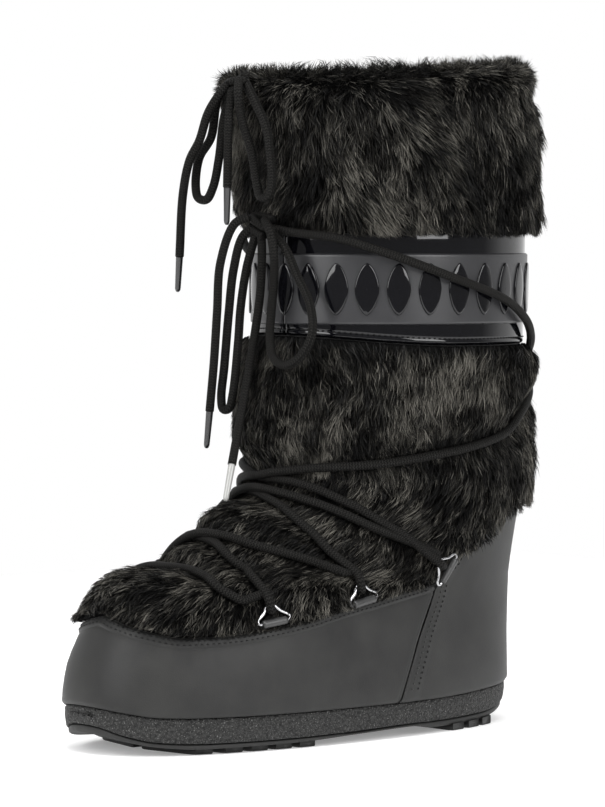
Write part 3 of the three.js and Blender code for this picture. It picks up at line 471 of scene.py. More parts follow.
def at_level(angle, column, rise):
    """Height of the last's own surface where it meets a sole line, found by four tries."""
    z = np.full(np.shape(angle), 12.0)
    for _ in range(4):
        z = sole_level(column, surface(angle, z)[..., 1]) + rise
    return z


def slice_rows(angle, rows):
    """Rings of a slice of the boot: each row is a sole line, a rise over it and a lift, and a
    lift of None closes the slice along the middle of the foot."""
    rings = []
    for column, rise, lift in rows:
        z = at_level(angle, column, rise)
        ring = skin(angle, z, -6.0 if lift is None else lift)
        if lift is None:
            ring[:, 0] *= PINCH
        rings.append(ring)
    return np.array(rings)


SOLE_COLUMNS = 288
sole_angles = (np.arange(SOLE_COLUMNS) + 0.5) * 360 / SOLE_COLUMNS

cup_rubber = Finish("cup_rubber", (0.018, 0.018, 0.017), 0.62, Specular_IOR_Level=0.35)
pebble_hollow_shade = cup_rubber.node("TexVoronoi", {}, {"Vector": cup_rubber.place(), "Scale": 620.0})
glint_flecks = cup_rubber.noise(1500.0, 1.0).clamped(0.64, 0.74)
# The cup's colour: painted shade darkens the hollows of the pebbling, and pale specks are painted
# glints; their lower roughness is real.
cup_rubber.set(
    Base_Color=cup_rubber.mix(
        cup_rubber.mix((0.030, 0.030, 0.029), (0.006, 0.006, 0.006), pebble_hollow_shade.clamped(0.15, 0.8)),
        (0.20, 0.20, 0.195), glint_flecks * 0.8),
    Roughness=0.66 - glint_flecks * 0.35)
cup_rubber.bump(cup_rubber.noise(1300.0) - pebble_hollow_shade * 1.8, 0.0009, 0.9)

cup_rings = slice_rows(sole_angles, [
    (1, 0.0, None), (1, 0.0, -14.0), (1, 0.0, -3.4), (1, -0.1, -2.4), (1, -0.6, -1.8),
    (1, -1.4, -CUP_INSET), (1, -4.0, -1.45), (2, 6.0, -1.45), (2, 2.6, -CUP_INSET),
    (2, 1.2, -1.75), (2, 0.5, -2.1), (2, 0.2, -2.9), (2, 0.2, -14.0), (2, 0.2, None)])
loop_piece("sole_cup", cup_rings[::-1, ::-1], cup_rubber, ["midsole"], False)

tread_rubber = Finish("tread_rubber", (0.015, 0.015, 0.015), 0.58, Specular_IOR_Level=0.35)
worn = tread_rubber.noise(260.0, 4.0)
tread_rubber.set(Base_Color=tread_rubber.mix((0.010, 0.010, 0.010), (0.022, 0.022, 0.021), worn),
                 Roughness=worn * 0.25 + 0.45)
tread_rubber.bump(worn + tread_rubber.noise(1100.0) * 0.4, 0.0004, 0.5)

lip_rings = slice_rows(sole_angles, [
    (2, -0.2, None), (2, -0.2, -14.0), (2, -0.25, -3.9), (2, -0.4, -3.0), (2, -0.9, -LIP_INSET),
    (3, 1.1, -LIP_INSET), (3, 0.5, -2.85), (3, 0.1, -3.4), (3, 0.0, -5.0), (3, 0.0, -14.0),
    (3, 0.0, None)])
tread_points = [lip_rings.reshape(-1, 3)[::-1]]
tread_faces = [grid_faces(len(lip_rings), SOLE_COLUMNS, True)]


def add_lug(along, depth, sweep, side):
    """One lug: four edges carried outwards from the middle groove to the outline of the sole,
    with rounded corners, and its outer end leaning as the lip does."""
    u = np.concatenate([[0, 0.03], np.linspace(0.1, 0.92, 9), [0.975, 1.0]])[:, None]
    start = TOE_Y + along * FOOT_LENGTH
    span, lean = depth * FOOT_LENGTH, sweep * FOOT_LENGTH
    corner = np.array([(0, 1.0), (0, .12), (.06, 0), (.94, 0), (1, .12), (1, 1.0)])
    end = np.clip((u - 0.9) / 0.1, 0, 1) ** 2 + np.clip((0.06 - u) / 0.06, 0, 1) ** 2
    y_ring = start + span * (0.5 + (corner[None, :, 0] - 0.5) * (1 - 0.10 * end))
    y0 = y_ring + lean * u
    half = curve(LAST_Z, LAST, np.array([4.0]))[0]
    share = np.clip(1 - np.abs((y0 - (half[0] + half[1]) / 2) / ((half[1] - half[0]) / 2 - 3.6))
                    ** half[3], 0, 1) ** (1 / half[3])
    outline = (half[2] - LUG_INSET) * share
    x = LUG_GROOVE / 2 + (outline - LUG_GROOVE / 2) * u
    top = sole_level(3, y0) + 1.0
    z = corner[None, :, 1] * top + 0.25 * end * (1 - corner[None, :, 1])
    points = np.stack(np.broadcast_arrays(side * x, y0, z), -1).reshape(-1, 3)
    rows, columns = len(u), len(corner)
    caps = np.array([[0, 1, 4, 5], [1, 2, 3, 4]])
    faces = np.vstack([grid_faces(rows, columns, True), caps,
                       (rows - 1) * columns + caps[:, ::-1]])
    return points, faces if side > 0 else faces[:, ::-1]


for row in LUG_ROWS:
    for side in (1, -1):
        points, faces = add_lug(*row, side)
        tread_faces.append(faces + sum(map(len, tread_points)))
        tread_points.append(points)
make_piece("tread", np.vstack(tread_points), tread_faces, tread_rubber,
           ["outsole"])


# The upper: a padded textile boot, foam between a woven face and a brushed lining, and the
# footbed that lies in it. Fur, rubber and band cover all of it but the inside.
WALL_OUT, WALL_IN, FOOTBED, RIM_DIP = -2.3, -7.3, 4.0, 8.0
QUILT_DEPTH, QUILT_PITCH, QUILT_FROM = 0.5, 9.0, 150


def rim(y):
    """The rim of the shaft dips towards the front."""
    heel = curve(LAST_Z, LAST, np.array([RIM]))[0]
    return RIM - RIM_DIP * np.clip((heel[1] - y) / (heel[1] - heel[0]), 0, 1)


upper_angles = (np.arange(120) + 0.5) * 3.0
upper_cloth = Finish("upper_cloth", (0.020, 0.020, 0.022), 0.85, Sheen_Weight=0.4)
weave = upper_cloth.node("TexWave", {"wave_type": "BANDS", "bands_direction": "Z"},
                         {"Vector": upper_cloth.place(), "Scale": 420.0})
weft = upper_cloth.node("TexWave", {"wave_type": "BANDS", "bands_direction": "Y"},
                        {"Vector": upper_cloth.place(), "Scale": 420.0})
brushed = upper_cloth.noise(240.0, 4.0)
upper_cloth.set(Base_Color=upper_cloth.mix((0.010, 0.010, 0.011), (0.045, 0.044, 0.045), brushed))
upper_cloth.bump(weave * weft + brushed * 2.0, 0.0006, 0.6)
shaft_top = rim(surface(upper_angles, RIM)[:, 1])
sole_top = at_level(upper_angles, 1, 0.3)
rise = np.linspace(0, 1, 30)[:, None]
heights = sole_top + (shaft_top - 1.0 - sole_top) * rise
outer = skin(upper_angles, heights, WALL_OUT)
inner = skin(upper_angles, heights, WALL_IN)
quilt = QUILT_DEPTH * np.sin(heights / QUILT_PITCH) * (heights > QUILT_FROM)
inner = inner + outward(upper_angles, heights) * quilt[..., None]
lip = skin(upper_angles, shaft_top, (WALL_OUT + WALL_IN) / 2)
upper = loop_piece("padded_upper", np.concatenate([outer, lip[None], inner[::-1]]),
                   upper_cloth, ["upper"])

footbed = Finish("footbed", (0.060, 0.056, 0.052), 0.9, Sheen_Weight=0.5)
felt = footbed.noise(700.0, 5.0)
footbed.set(Base_Color=footbed.mix((0.035, 0.033, 0.031), (0.085, 0.080, 0.074), felt))
footbed.bump(felt, 0.0006, 0.7)
bed_low, bed_high = at_level(upper_angles, 1, 0.3), at_level(upper_angles, 1, 0.3 + FOOTBED)
bed_rows = [(bed_high, None), (bed_high, -30.0), (bed_high, -9.4), (bed_high - 0.5, -8.0),
            (bed_high - 1.4, -7.6), (bed_low, -7.6), (bed_low, -30.0), (bed_low, None)]
bed = np.array([skin(upper_angles, z, -30.0 if lift is None else lift)
                * ([PINCH, 1, 1] if lift is None else [1, 1, 1]) for z, lift in bed_rows])
loop_piece("felt_footbed", bed[::-1, ::-1], footbed, ["insole"], False)


# The rubber shells: a rand moulded round the toe and both sides with a turned hem along its
# top, and a heel counter that butts against it. Both are glued on and double-stitched.
RAND_TOP = on_each_side([
    (0, .513), (12, .489), (25, .463), (42, .437), (55, .441), (74, .474), (86, .520),
    (96, .560), (110, .600)], INSTEP)
COUNTER_TOP = on_each_side([
    (104, .686), (112, .712), (120, .782), (126, .848), (140, .871), (180, .878)], INSTEP)
SEAM = np.array([(0.12, 98.0), (0.37, 103.0), (0.57, 107.5), (0.72, 106.5)])
HEM, HEM_RISE, SHELL_IN = 4.5, 0.7, -2.0


def seam_angle(z):
    return curve(SEAM[:, 0], SEAM[:, 1], z / INSTEP)


def shell_places(columns, rows, edge_low, edge_high, low, high):
    """Angles and heights of a shell between two slanted side edges and two levels. Each row
    is a share of the way up and a rise in millimetres from there."""
    s = np.linspace(0, 1, columns)[None, :]
    t, rise = np.array(rows, float).T[..., None]
    z = np.full((len(rows), columns), 40.0)
    for _ in range(5):
        angle = edge_low(z) + (edge_high(z) - edge_low(z)) * s
        z = low(angle) + (high(angle) - low(angle)) * t + rise
    return angle, z


def shell_piece(name, angle, z, lift, finish, node, inner=SHELL_IN):
    """A thick shell, closed all round: an outer face and a back of five rows at one lift."""
    rows = np.linspace(len(z) - 1, 0, 5).astype(int)
    loops = np.concatenate([skin(angle, z, lift), skin(angle[rows], z[rows], inner)])
    count, columns = loops.shape[:2]
    ends = [np.arange(count)[::-1] * columns, np.arange(count) * columns + columns - 1]
    faces = [grid_faces(count, columns, False, True), *[end[None] for end in ends]]
    return make_piece(name, loops.reshape(-1, 3), faces, finish, [node])


rand_rubber = Finish("rand_rubber", (0.022, 0.022, 0.022), 0.5, Specular_IOR_Level=0.3)
cast = rand_rubber.noise(45.0, 5.0)
grit = rand_rubber.noise(1700.0, 2.0)
scuff = rand_rubber.noise(18.0, 6.0).clamped(0.50, 0.72)
rand_rubber.set(
    Base_Color=rand_rubber.mix(
        (0.011, 0.011, 0.011), (0.022, 0.022, 0.021), cast.clamped(0.3, 0.7)),
    Roughness=cast * 0.12 + scuff * 0.08 + 0.44)
rand_rubber.bump(grit * 0.6 + cast * 0.8, 0.0003, 0.45)


def shell_low(angle):
    return at_level(angle, 1, 0.35)


rand_rows = [
    (0, 0), (0, 0.5), (0, 1.3), (0, 2.6), (0.2, 0), (0.35, 0), (0.5, 0), (0.65, 0), (1, -8.0),
    (1, -6.4), (1, -5.8), (1, -5.4), (1, -5.0), (1, -4.6), (1, -4.2), (1, -3.4), (1, -2.2),
    (1, -1.2), (1, -0.6), (1, -0.2), (1, 0)]
angle, z = shell_places(220, rand_rows, lambda z: 0.12 - seam_angle(z),
                        lambda z: seam_angle(z) - 0.12, shell_low, RAND_TOP)
below_top = RAND_TOP(angle) - z
above_low = z - shell_low(angle)
edge = np.abs(angle) / seam_angle(z)
rand_lift = (0.35 * np.sin(np.pi * np.clip(above_low / 30, 0, 1))
             - 1.2 * ridge(above_low, 0, 1.1)
             + HEM_RISE * np.clip((HEM + 0.5 - below_top) / 0.8, 0, 1)
             - 0.9 * ridge(below_top, 0, 0.55)
             - 0.22 * ridge(below_top - HEM, 0.9, 0.5)
             - 0.9 * np.clip((edge - 0.9965) / 0.0035, 0, 1) ** 2)
shell_piece("toe_rand", angle, z, rand_lift, rand_rubber, "forefoot_rand")

counter_rows = [
    (0, 0), (0, 0.5), (0, 1.3), (0, 2.6), (0.15, 0), (0.3, 0), (0.45, 0), (0.6, 0), (0.75, 0),
    (0.88, 0), (1, -3.0), (1, -1.6), (1, -0.9), (1, -0.4), (1, 0)]
angle, z = shell_places(180, counter_rows, lambda z: seam_angle(z) + 0.12,
                        lambda z: 359.88 - seam_angle(z), shell_low, COUNTER_TOP)
above_low = z - shell_low(angle)
below_top = COUNTER_TOP(angle) - z
from_seam = np.minimum(angle - seam_angle(z), 360 - seam_angle(z) - angle)
counter_lift = (0.15 - 1.2 * ridge(above_low, 0, 1.1)
                - 1.0 * ridge(below_top, 0, 0.8)
                + 0.35 * np.clip((4.6 - from_seam) / 0.9, 0, 1)
                - 0.9 * np.clip((0.35 - from_seam) / 0.35, 0, 1) ** 2)
shell_piece("heel_shell", angle, z, counter_lift, rand_rubber, "heel_counter")


def stitches(name, angle, z, lift, spacing, share, thick, finish):
    """A row of stitches along a line on the last: each is a short thread that dips into the
    face at both ends, five points long and five round."""
    line = skin(angle, z, lift)
    normal = outward(angle, z)
    along = np.concatenate([[0], np.cumsum(np.linalg.norm(np.diff(line, axis=0), axis=1))])
    count = int(along[-1] // spacing)
    t = np.linspace(-0.5, 0.5, 5)
    middle = (np.arange(count) + 0.5)[:, None] * spacing
    at = (middle + t * spacing * share).ravel()
    core = np.column_stack([np.interp(at, along, line[:, k]) for k in range(3)])
    out = np.column_stack([np.interp(at, along, normal[:, k]) for k in range(3)])
    ahead = np.gradient(core, axis=0)
    ahead /= np.linalg.norm(ahead, axis=1)[:, None]
    side = np.cross(out, ahead)
    arch = np.tile(thick * (0.45 - 1.9 * (2 * np.abs(t)) ** 4), count)
    turn = 2 * np.pi * np.arange(5) / 5
    points = (core + out * arch[:, None])[:, None] + thick / 2 * (
        np.cos(turn)[None, :, None] * side[:, None] + np.sin(turn)[None, :, None] * out[:, None])
    base = grid_faces(5, 5, True)
    faces = (base[None] + (np.arange(count) * 25)[:, None, None]).reshape(-1, 4)
    return make_piece(name, points.reshape(-1, 3), faces, finish)


dark_thread = Finish("dark_thread", (0.006, 0.006, 0.006), 0.6, Specular_IOR_Level=0.2)
dark_thread.bump(dark_thread.noise(2600.0), 0.0001, 0.5)
pale_thread = Finish("pale_thread", (0.05, 0.05, 0.048), 0.6, Specular_IOR_Level=0.2)
pale_thread.bump(pale_thread.noise(2600.0), 0.0001, 0.5)
hem_angle = np.linspace(-105.0, 105.0, 700)
for i, drop in enumerate((1.5, 3.4)):
    stitches(f"hem_stitches_{i + 1}", hem_angle, RAND_TOP(hem_angle) - drop,
             HEM_RISE - 0.05, 3.1, 0.66, 0.62, dark_thread)
for title, side in (("left", 1), ("right", -1)):
    seam_z = np.linspace(24.0, 0.695 * INSTEP, 260)
    seam_at = seam_angle(seam_z)
    for i, offset in enumerate((2.0, 3.7)):
        turned = side * (seam_at + offset)
        turned = turned if side > 0 else 360 + turned
        stitches(f"seam_stitches_{title}_{i + 1}", turned, seam_z, 0.55,
                 2.9, 0.55, 0.55, pale_thread if i == 0 else dark_thread)


# Lace rings: bent steel wire in a triangle, each held at the rand's hem by a rubber sleeve
# that is pressed round the wire's straight side.
WIRE, SLEEVE, SLEEVE_LENGTH, RING_WIDTH, RING_REACH = 1.8, 4.2, 15.0, 19.0, 9.5
RING_PLACES = [(66, .478, 8), (88, .535, 11), (107, .636, 55)]


def ring_frame(number, side):
    """Centre of a ring's straight side, the way along it, the way it reaches, and outwards."""
    angle, height, tilt = RING_PLACES[number - 1]
    z = height * INSTEP
    normal = outward(angle, z)
    round_it = surface(angle + 0.5, z) - surface(angle - 0.5, z)
    round_it /= np.linalg.norm(round_it)
    turn = np.radians(tilt)
    along = round_it * np.cos(turn) + np.cross(normal, round_it) * np.sin(turn)
    centre = skin(angle, z, HEM_RISE + 0.3 + SLEEVE / 2)
    return [v * [side, 1, 1] for v in (centre, along, np.cross(normal, along), normal)]


def on_ring(ring, *places):
    """Points along, reach and lift from a ring's centre."""
    centre, along, reach, normal = ring
    a, r, n = np.array(places, float).T[..., None]
    return centre + a * along + r * reach + n * normal


ring_steel = Finish("ring_steel", (0.42, 0.42, 0.43), 0.22, Metallic=1.0)
smear = ring_steel.noise(350.0, 3.0)
ring_steel.set(Roughness=smear * 0.22 + 0.10)
ring_steel.bump(smear, 0.00005, 0.4)
sleeve_rubber = Finish("sleeve_rubber", (0.030, 0.030, 0.030), 0.34, Specular_IOR_Level=0.5)
ribs = sleeve_rubber.noise(900.0, 2.0)
sleeve_rubber.set(Roughness=ribs * 0.15 + 0.26)
sleeve_rubber.bump(ribs, 0.0002, 0.4)
for title, side in (("left", 1), ("right", -1)):
    for number in (1, 2, 3):
        ring = ring_frame(number, side)
        half = RING_WIDTH / 2
        right_side = [(0.2, 0), (half / 2, 0), (half - 2.2, 0), (half - 0.3, 0.5), (half, 2.2),
                      (half * 0.55, RING_REACH * 0.55), (half * 0.2, RING_REACH * 0.93)]
        outline = [*right_side, (0, RING_REACH), *[(-a, r) for a, r in right_side[::-1]]]
        wire = smooth_line(on_ring(ring, *[(a, r, 0) for a, r in outline]), 0.8)
        tube(f"wire_{title}_{number}", wire, WIRE / 2, 14, ring_steel,
             [f"ring_{title}_{number}"])
        run = np.linspace(-0.5, 0.5, 22)
        swell = SLEEVE / 2 * np.clip((0.5 - np.abs(run)) * 30, 0.45, 1) ** 0.4
        core = on_ring(ring, *[(SLEEVE_LENGTH * t, 0, 0) for t in run])
        tube(f"sleeve_{title}_{number}", core, swell, 18, sleeve_rubber,
             [f"keeper_{title}_{number}"])


# The lace over the foot: one braid that starts at the lower knot, goes round the ankle and
# down through the rings from side to side, and comes back up the same way.
LACE_BAR = [(54, .560, 3.6), (41.5, .608, 3.8), (15, .652, 3.8), (-15, .652, 3.8),
            (-41.5, .608, 3.8), (-54, .560, 3.6)]
LACE_LOW = [(52, .620, 3.8), (33.5, .675, 3.8), (12, .747, 3.8), (-14.5, .765, 3.8),
            (-33.5, .741, 3.8), (-53.5, .705, 3.8), (-74, .645, 3.8)]
LACE_HIGH = [(65.5, .708, 3.8), (48, .797, 3.8), (20.5, .893, 3.8), (0, .935, 3.8),
             (-26, .922, 3.8), (-52, .863, 3.8), (-73, .801, 3.8)]
LACE_ANKLE = [
    (79.5, .797, 3.8), (62, .862, 3.8), (40.5, .937, 3.8), (22, .981, 3.8), (0, 1.0, 3.8),
    (-12, 1.022, 3.8), (-29, 1.044, 3.8), (-55, 1.063, 3.8), (-78, 1.096, 3.8),
    (-94, 1.122, 3.8), (-113, 1.170, 3.8), (-128, 1.255, 3.8), (-150, 1.335, 3.8),
    (-180, 1.387, 3.8), (-210, 1.485, 4.0), (-237, 1.610, 5.4), (-254, 1.683, 5.9),
    (-281, 1.771, 5.9), (-308, 1.867, 5.6), (-326, 1.920, 5.4), (-346, 1.945, 7.0),
    (-356, 1.965, 11.0)]
CROSS_OVER, CROSS_UNDER, CROSS_WIDTH = 2.4, 0.8, 17.0


def lace_run(rows, side):
    """One stretch of lace on the last. Where two stretches cross at the middle of the front
    or the back, the right one lies over the left one, but not where both end at the knot."""
    t = np.array(rows, float)
    line = smooth_line(t * [1, INSTEP / 1.6, 1], 3.0) / [1, INSTEP / 1.6, 1]
    off_middle = (line[:, 0] + 90) % 180 - 90
    over = ridge(off_middle, 0, CROSS_WIDTH) * (CROSS_OVER if side < 0 else -CROSS_UNDER)
    over[-4:] *= rows is not LACE_ANKLE
    return skin(side * line[:, 0], line[:, 1] * INSTEP, line[:, 2] + over)


def through(number, side):
    """The lace comes over the ring's tip, dips through it and leaves under it."""
    return on_ring(ring_frame(number, side), (-1.6, 15, 2.0), (-1.5, 10.5, 2.9),
                   (-0.4, 6.4, 0.9), (0.9, 6.6, -1.3), (1.6, 10.6, -2.3), (1.8, 15.2, -0.9))


half_lace = {side: np.vstack([
    lace_run(LACE_ANKLE, -side)[::-1],
    through(3, -side), lace_run(LACE_HIGH, side)[::-1],
    through(2, side), lace_run(LACE_LOW, -side)[::-1],
    through(1, -side)]) for side in (1, -1)}
lace_route = np.vstack([half_lace[-1], lace_run(LACE_BAR, 1), half_lace[1][::-1]])
lace_line = smooth_line(lace_route, 1.05)
tube("lace", lace_line, LACE / 2, 16, lace_cloth, ["lace_crossings"])


# Fake fur: dense acrylic pile on a knitted back, black, brushed downwards and pressed flat under
# the laces. The hairs carry painted shade towards their roots and a painted grey-brown sheen
# towards their tips. Each zone is a dark mat at half the pile's depth and tens of thousands of
# hairs rooted in it, which gather into small locks.
ANKLE_LINE = on_each_side([
    (0, .993), (12, 1.022), (29, 1.044), (55, 1.063), (78, 1.096), (94, 1.122), (113, 1.170),
    (128, 1.255), (150, 1.335), (180, 1.387)], INSTEP)
BAND_BOTTOM, BAND_HEIGHT, BAND_RISE, STRIP_HEIGHT = 204.5, 59.0, 5.5, 37.0
BAND_TOP = BAND_BOTTOM + BAND_HEIGHT
HAIR_WIDTH, WAVES, WAVE_GAIN = 0.36, 6, 1.7
press_points = np.vstack([lace_line[::5], *[
    ring_frame(n, s)[0][None] for n in (1, 2, 3) for s in (1, -1)]])
press_angle, press_z = np.meshgrid(np.arange(0, 361, 2.0), np.arange(40, 360, 1.5), indexing="ij")
spots = surface(press_angle, press_z).reshape(-1, 3)
nearest = np.concatenate([
    np.sqrt(((part[:, None] - press_points[None]) ** 2).sum(-1)).min(1)
    for part in np.array_split(spots, 40)]).reshape(press_angle.shape)


def pressed(angle, z):
    """Distance from the nearest lace or ring, read from a table over the whole last."""
    a = (np.asarray(angle, float) % 360) / 2.0
    h = np.clip((np.asarray(z, float) - 40) / 1.5, 0, nearest.shape[1] - 1.001)
    a0, h0 = a.astype(int), h.astype(int)
    a1 = np.minimum(a0 + 1, nearest.shape[0] - 1)
    fa, fh = a - a0, h - h0
    low = nearest[a0, h0] * (1 - fa) + nearest[a1, h0] * fa
    high = nearest[a0, h0 + 1] * (1 - fa) + nearest[a1, h0 + 1] * fa
    return low * (1 - fh) + high * fh


def fullness(angle, z, near=3.0, far=15.0):
    """0.22 under a lace, 1 where the fur stands free."""
    t = np.clip((pressed(angle, z) - near) / (far - near), 0, 1)
    return 0.22 + 0.78 * t * t * (3 - 2 * t)


def waves(angle, z, seed, scale):
    """Soft field over the last, about -1 to 1: six plane waves of about 4 times scale."""
    rng = np.random.default_rng(seed)
    ways = rng.normal(size=(WAVES, 3)) / scale
    phase = rng.uniform(0, 2 * np.pi, WAVES)
    return np.sin(surface(angle, z) @ ways.T + phase).mean(-1) * WAVE_GAIN


def steady(value):
    return lambda angle, z=0: np.full(np.broadcast(angle, z).shape, float(value))


def shaft_rim(angle):
    return rim(surface(angle, steady(RIM)(angle))[..., 1])


def cover_top(angle):
    """Top of the rubber round the foot: the rand, and behind its seam the heel shell."""
    turned = np.abs((np.asarray(angle, float) + 180) % 360 - 180)
    blend = np.clip((turned - 104.5) / 3.0, 0, 1)
    return RAND_TOP(angle) * (1 - blend) + COUNTER_TOP(angle) * blend


def band_low(angle):
    return BAND_BOTTOM + BAND_RISE * np.maximum(0, np.cos(np.radians(angle))) ** 2


fur_pile = Finish("fur_pile", (0.012, 0.011, 0.011), 0.46, Specular_IOR_Level=0.12)
# The hairs' colour: painted shade darkens each hair towards its root, and a painted grey-brown
# sheen lights it towards its tip, more where its share from the chart is high.
shade, way = fur_pile.chart()
light = (shade.clamped(0.25, 1.0) ** 2.2) * way.clamped(0.1, 0.9)
fur_pile.set(Base_Color=fur_pile.mix((0.0024, 0.0023, 0.0022), (0.205, 0.194, 0.168), light))
fur_back = Finish("fur_back", (0.003, 0.003, 0.003), 0.9, Specular_IOR_Level=0.05)
fur_back.bump(fur_back.noise(900.0, 3.0), 0.001, 0.8)


def spread_roots(count, low, high, rng):
    """Roots spread evenly over the area between two lines of the last: cells of a fine table
    drawn by their area, then a random place in the cell."""
    angle = np.arange(360.0)[:, None]
    z = low(angle) + (high(angle) - low(angle)) * np.arange(80) / 80
    across = np.linalg.norm(surface(angle + 0.5, z) - surface(angle - 0.5, z), axis=-1)
    rising = np.linalg.norm(surface(angle, z + 0.5) - surface(angle, z - 0.5), axis=-1)
    area = across * rising * (high(angle) - low(angle)) / 80
    cell = rng.choice(area.size, count, p=(area / area.sum()).ravel())
    a = cell // 80 + rng.random(count)
    share = (cell % 80 + rng.random(count)) / 80
    return a, low(a) + (high(a) - low(a)) * share, area.sum()


def blades(name, stations, tones_and_sheen, rng, nodes):
    """Hairs as fine flat blades, each from its root over its middle to a point. The chart
    holds the hair's colour share, partly random and partly painted sheen, and how far along it a
    point lies, which the finish turns into painted shade at the root."""
    count = len(stations)
    side = np.cross(np.diff(stations, axis=1), rng.normal(size=(count, 1, 3)))
    side /= np.linalg.norm(side, axis=2, keepdims=True) + 1e-9
    half = HAIR_WIDTH / 2 * np.array([1.0, 0.85])[None, :, None] * rng.uniform(
        0.7, 1.3, (count, 1, 1))
    edges = np.stack([stations[:, :2] - side * half, stations[:, :2] + side * half], 2)
    points = np.concatenate([edges.reshape(count, 4, 3), stations[:, 2:]], 1)
    base = (np.arange(count) * 5)[:, None]
    chart = np.stack(np.broadcast_arrays(
        tones_and_sheen[:, None], np.array([0, 0, 0.5, 0.5, 1.0])), -1).reshape(-1, 2)
    return make_piece(name, points.reshape(-1, 3), [base + [[0, 1, 3, 2]], base + [[2, 3, 4]]],
                      fur_pile, nodes, chart)


def nearest_lock(at, locks):
    """Index of the lock nearest to each place."""
    return np.concatenate([
        (((part[:, None] - locks[None]) ** 2).sum(-1)).argmin(1)
        for part in np.array_split(at, 1 + len(at) * len(locks) // 4000000)])


def hairs(name, count, low, high, full, length, seed, nodes, lock=4.5, floor=None, stand=None):
    """Hairs rooted between two lines. Each leaves the mat, leans down and a little sideways
    with its lock, and ends at the pile's depth. floor is the lowest line that hairs reach,
    each lock stopping some millimetres off it; stand gives the share by which hairs stand up."""
    rng = np.random.default_rng(seed)
    a0, z0, area = spread_roots(count, low, high, rng)
    locks = int(area / lock**2)
    la, lz, _ = spread_roots(locks, low, high, rng)
    own = nearest_lock(surface(a0, z0), surface(la, lz))
    swirl = 0.50 * waves(la, lz, seed + 1, 16.0) + rng.normal(0, 0.16, locks)
    lump = 1 + 0.13 * waves(la, lz, seed + 3, 6.0) + rng.normal(0, 0.08, locks)
    # Each lock's colour share is partly random and partly blotches of painted sheen.
    lock_tone_and_sheen = 0.46 + 0.40 * waves(la, lz, seed + 2, 6.0) + rng.normal(0, 0.13, locks)
    upright = stand(a0, z0) if stand else np.zeros(count)
    step_z = np.linalg.norm(surface(a0, z0 + 0.5) - surface(a0, z0 - 0.5), axis=1)
    step_a = np.linalg.norm(surface(a0 + 0.5, z0) - surface(a0 - 0.5, z0), axis=1)
    lean = swirl[own] + rng.normal(0, 0.20, count)
    reach = length * (1 + 0.18 * rng.normal(size=locks))[own] * rng.uniform(0.6, 1.15, count)
    down = reach * np.cos(lean) * (1 - 1.7 * upright)
    if floor is not None:
        stop = floor(a0) + 0.8 - rng.uniform(0, 2.6, locks)[own] - rng.uniform(0, 1.2, count)
        down = np.minimum(down, np.maximum(z0 - stop, 0.5) * step_z)
    aside = reach * np.sin(lean)
    t = np.array([0.0, 0.55, 1.0])[None, :]
    pull = 0.45 * t**1.5
    to_lock = (la[own] - a0 + 180) % 360 - 180
    angle = a0[:, None] + (aside / step_a)[:, None] * t + pull * to_lock[:, None]
    z = z0[:, None] - (down / step_z)[:, None] * t**1.15 + 0.3 * pull * (lz[own] - z0)[:, None]
    deep = 0.42 + 0.58 * np.sin(t * np.pi / 2) * (1 - upright[:, None]) + (
        0.75 * t * upright[:, None])
    depth = (full(a0, z0) * lump[own] * rng.uniform(0.82, 1.15, count))[:, None] * deep
    lift = 0.2 + depth * fullness(angle, z)
    tones_and_sheen = np.clip(lock_tone_and_sheen[own] + rng.normal(0, 0.22, count), 0, 1)
    return blades(name, skin(angle, z, lift), tones_and_sheen, rng, nodes)


def fur_mat(name, low, high, full, node):
    """The mat under the hairs: a closed sleeve round the boot, full at mid height and thin
    at both edges."""
    s = np.arange(180) * 2.0
    t = np.concatenate([[0, 0.03], np.linspace(0.08, 0.92, 22), [0.97, 1.0]])[:, None]
    z = low(s) + (high(s) - low(s)) * t
    ends = np.clip(np.minimum(t, 1 - t) / 0.08, 0, 1) ** 0.5
    depth = 0.5 * full(s, z) * fullness(s, z) * (1 + 0.15 * waves(s, z, 91, 5.0))
    face = skin(s, z, -1.6 + (1.6 + depth) * ends)
    back = skin(s, z[::6][::-1], -1.9)
    return loop_piece(name, np.concatenate([face, back]), fur_back, [node])


def collar_depth(angle, z):
    """The collar's pile: full over most of its height, thinner down at the band and creased
    under the turned rim."""
    low = 2.2 * ridge(z, BAND_TOP, 12.0)
    return 8.8 - low - 2.4 * ridge(z - shaft_rim(angle), -7, 4.5)


def collar_stand(angle, z):
    """Near the rim the pile stands up, lower down it hangs."""
    return 0.7 * np.clip((z - shaft_rim(angle) + 9) / 13, 0, 1)


fur_mat("foot_fur_mat", lambda a: cover_top(a) + 0.8, lambda a: ANKLE_LINE(a) - 0.5,
        steady(6.6), "foot_fur")
hairs("foot_pile", 60000, lambda a: cover_top(a) + 0.6, lambda a: ANKLE_LINE(a) + 3.0,
      steady(6.6), 9.5, 11, ["foot_fur"], lock=3.6, floor=cover_top)
fur_mat("ankle_fur_mat", lambda a: ANKLE_LINE(a) + 0.5, lambda a: band_low(a) - 0.6,
        steady(8.6), "ankle_fur")
hairs("ankle_pile", 56000, lambda a: ANKLE_LINE(a) + 1.0, lambda a: band_low(a) - 0.3,
      steady(8.6), 11.0, 23, ["ankle_fur"], lock=4.0)
fur_mat("collar_fur_mat", steady(BAND_TOP + 0.8), lambda a: shaft_rim(a) + 4.0,
        collar_depth, "collar_fur")
hairs("collar_pile", 64000, steady(BAND_TOP + 1.0), lambda a: shaft_rim(a) + 2.0,
      collar_depth, 11.5, 37, ["collar_fur"], lock=4.2, floor=steady(BAND_TOP - 1.0),
      stand=collar_stand)


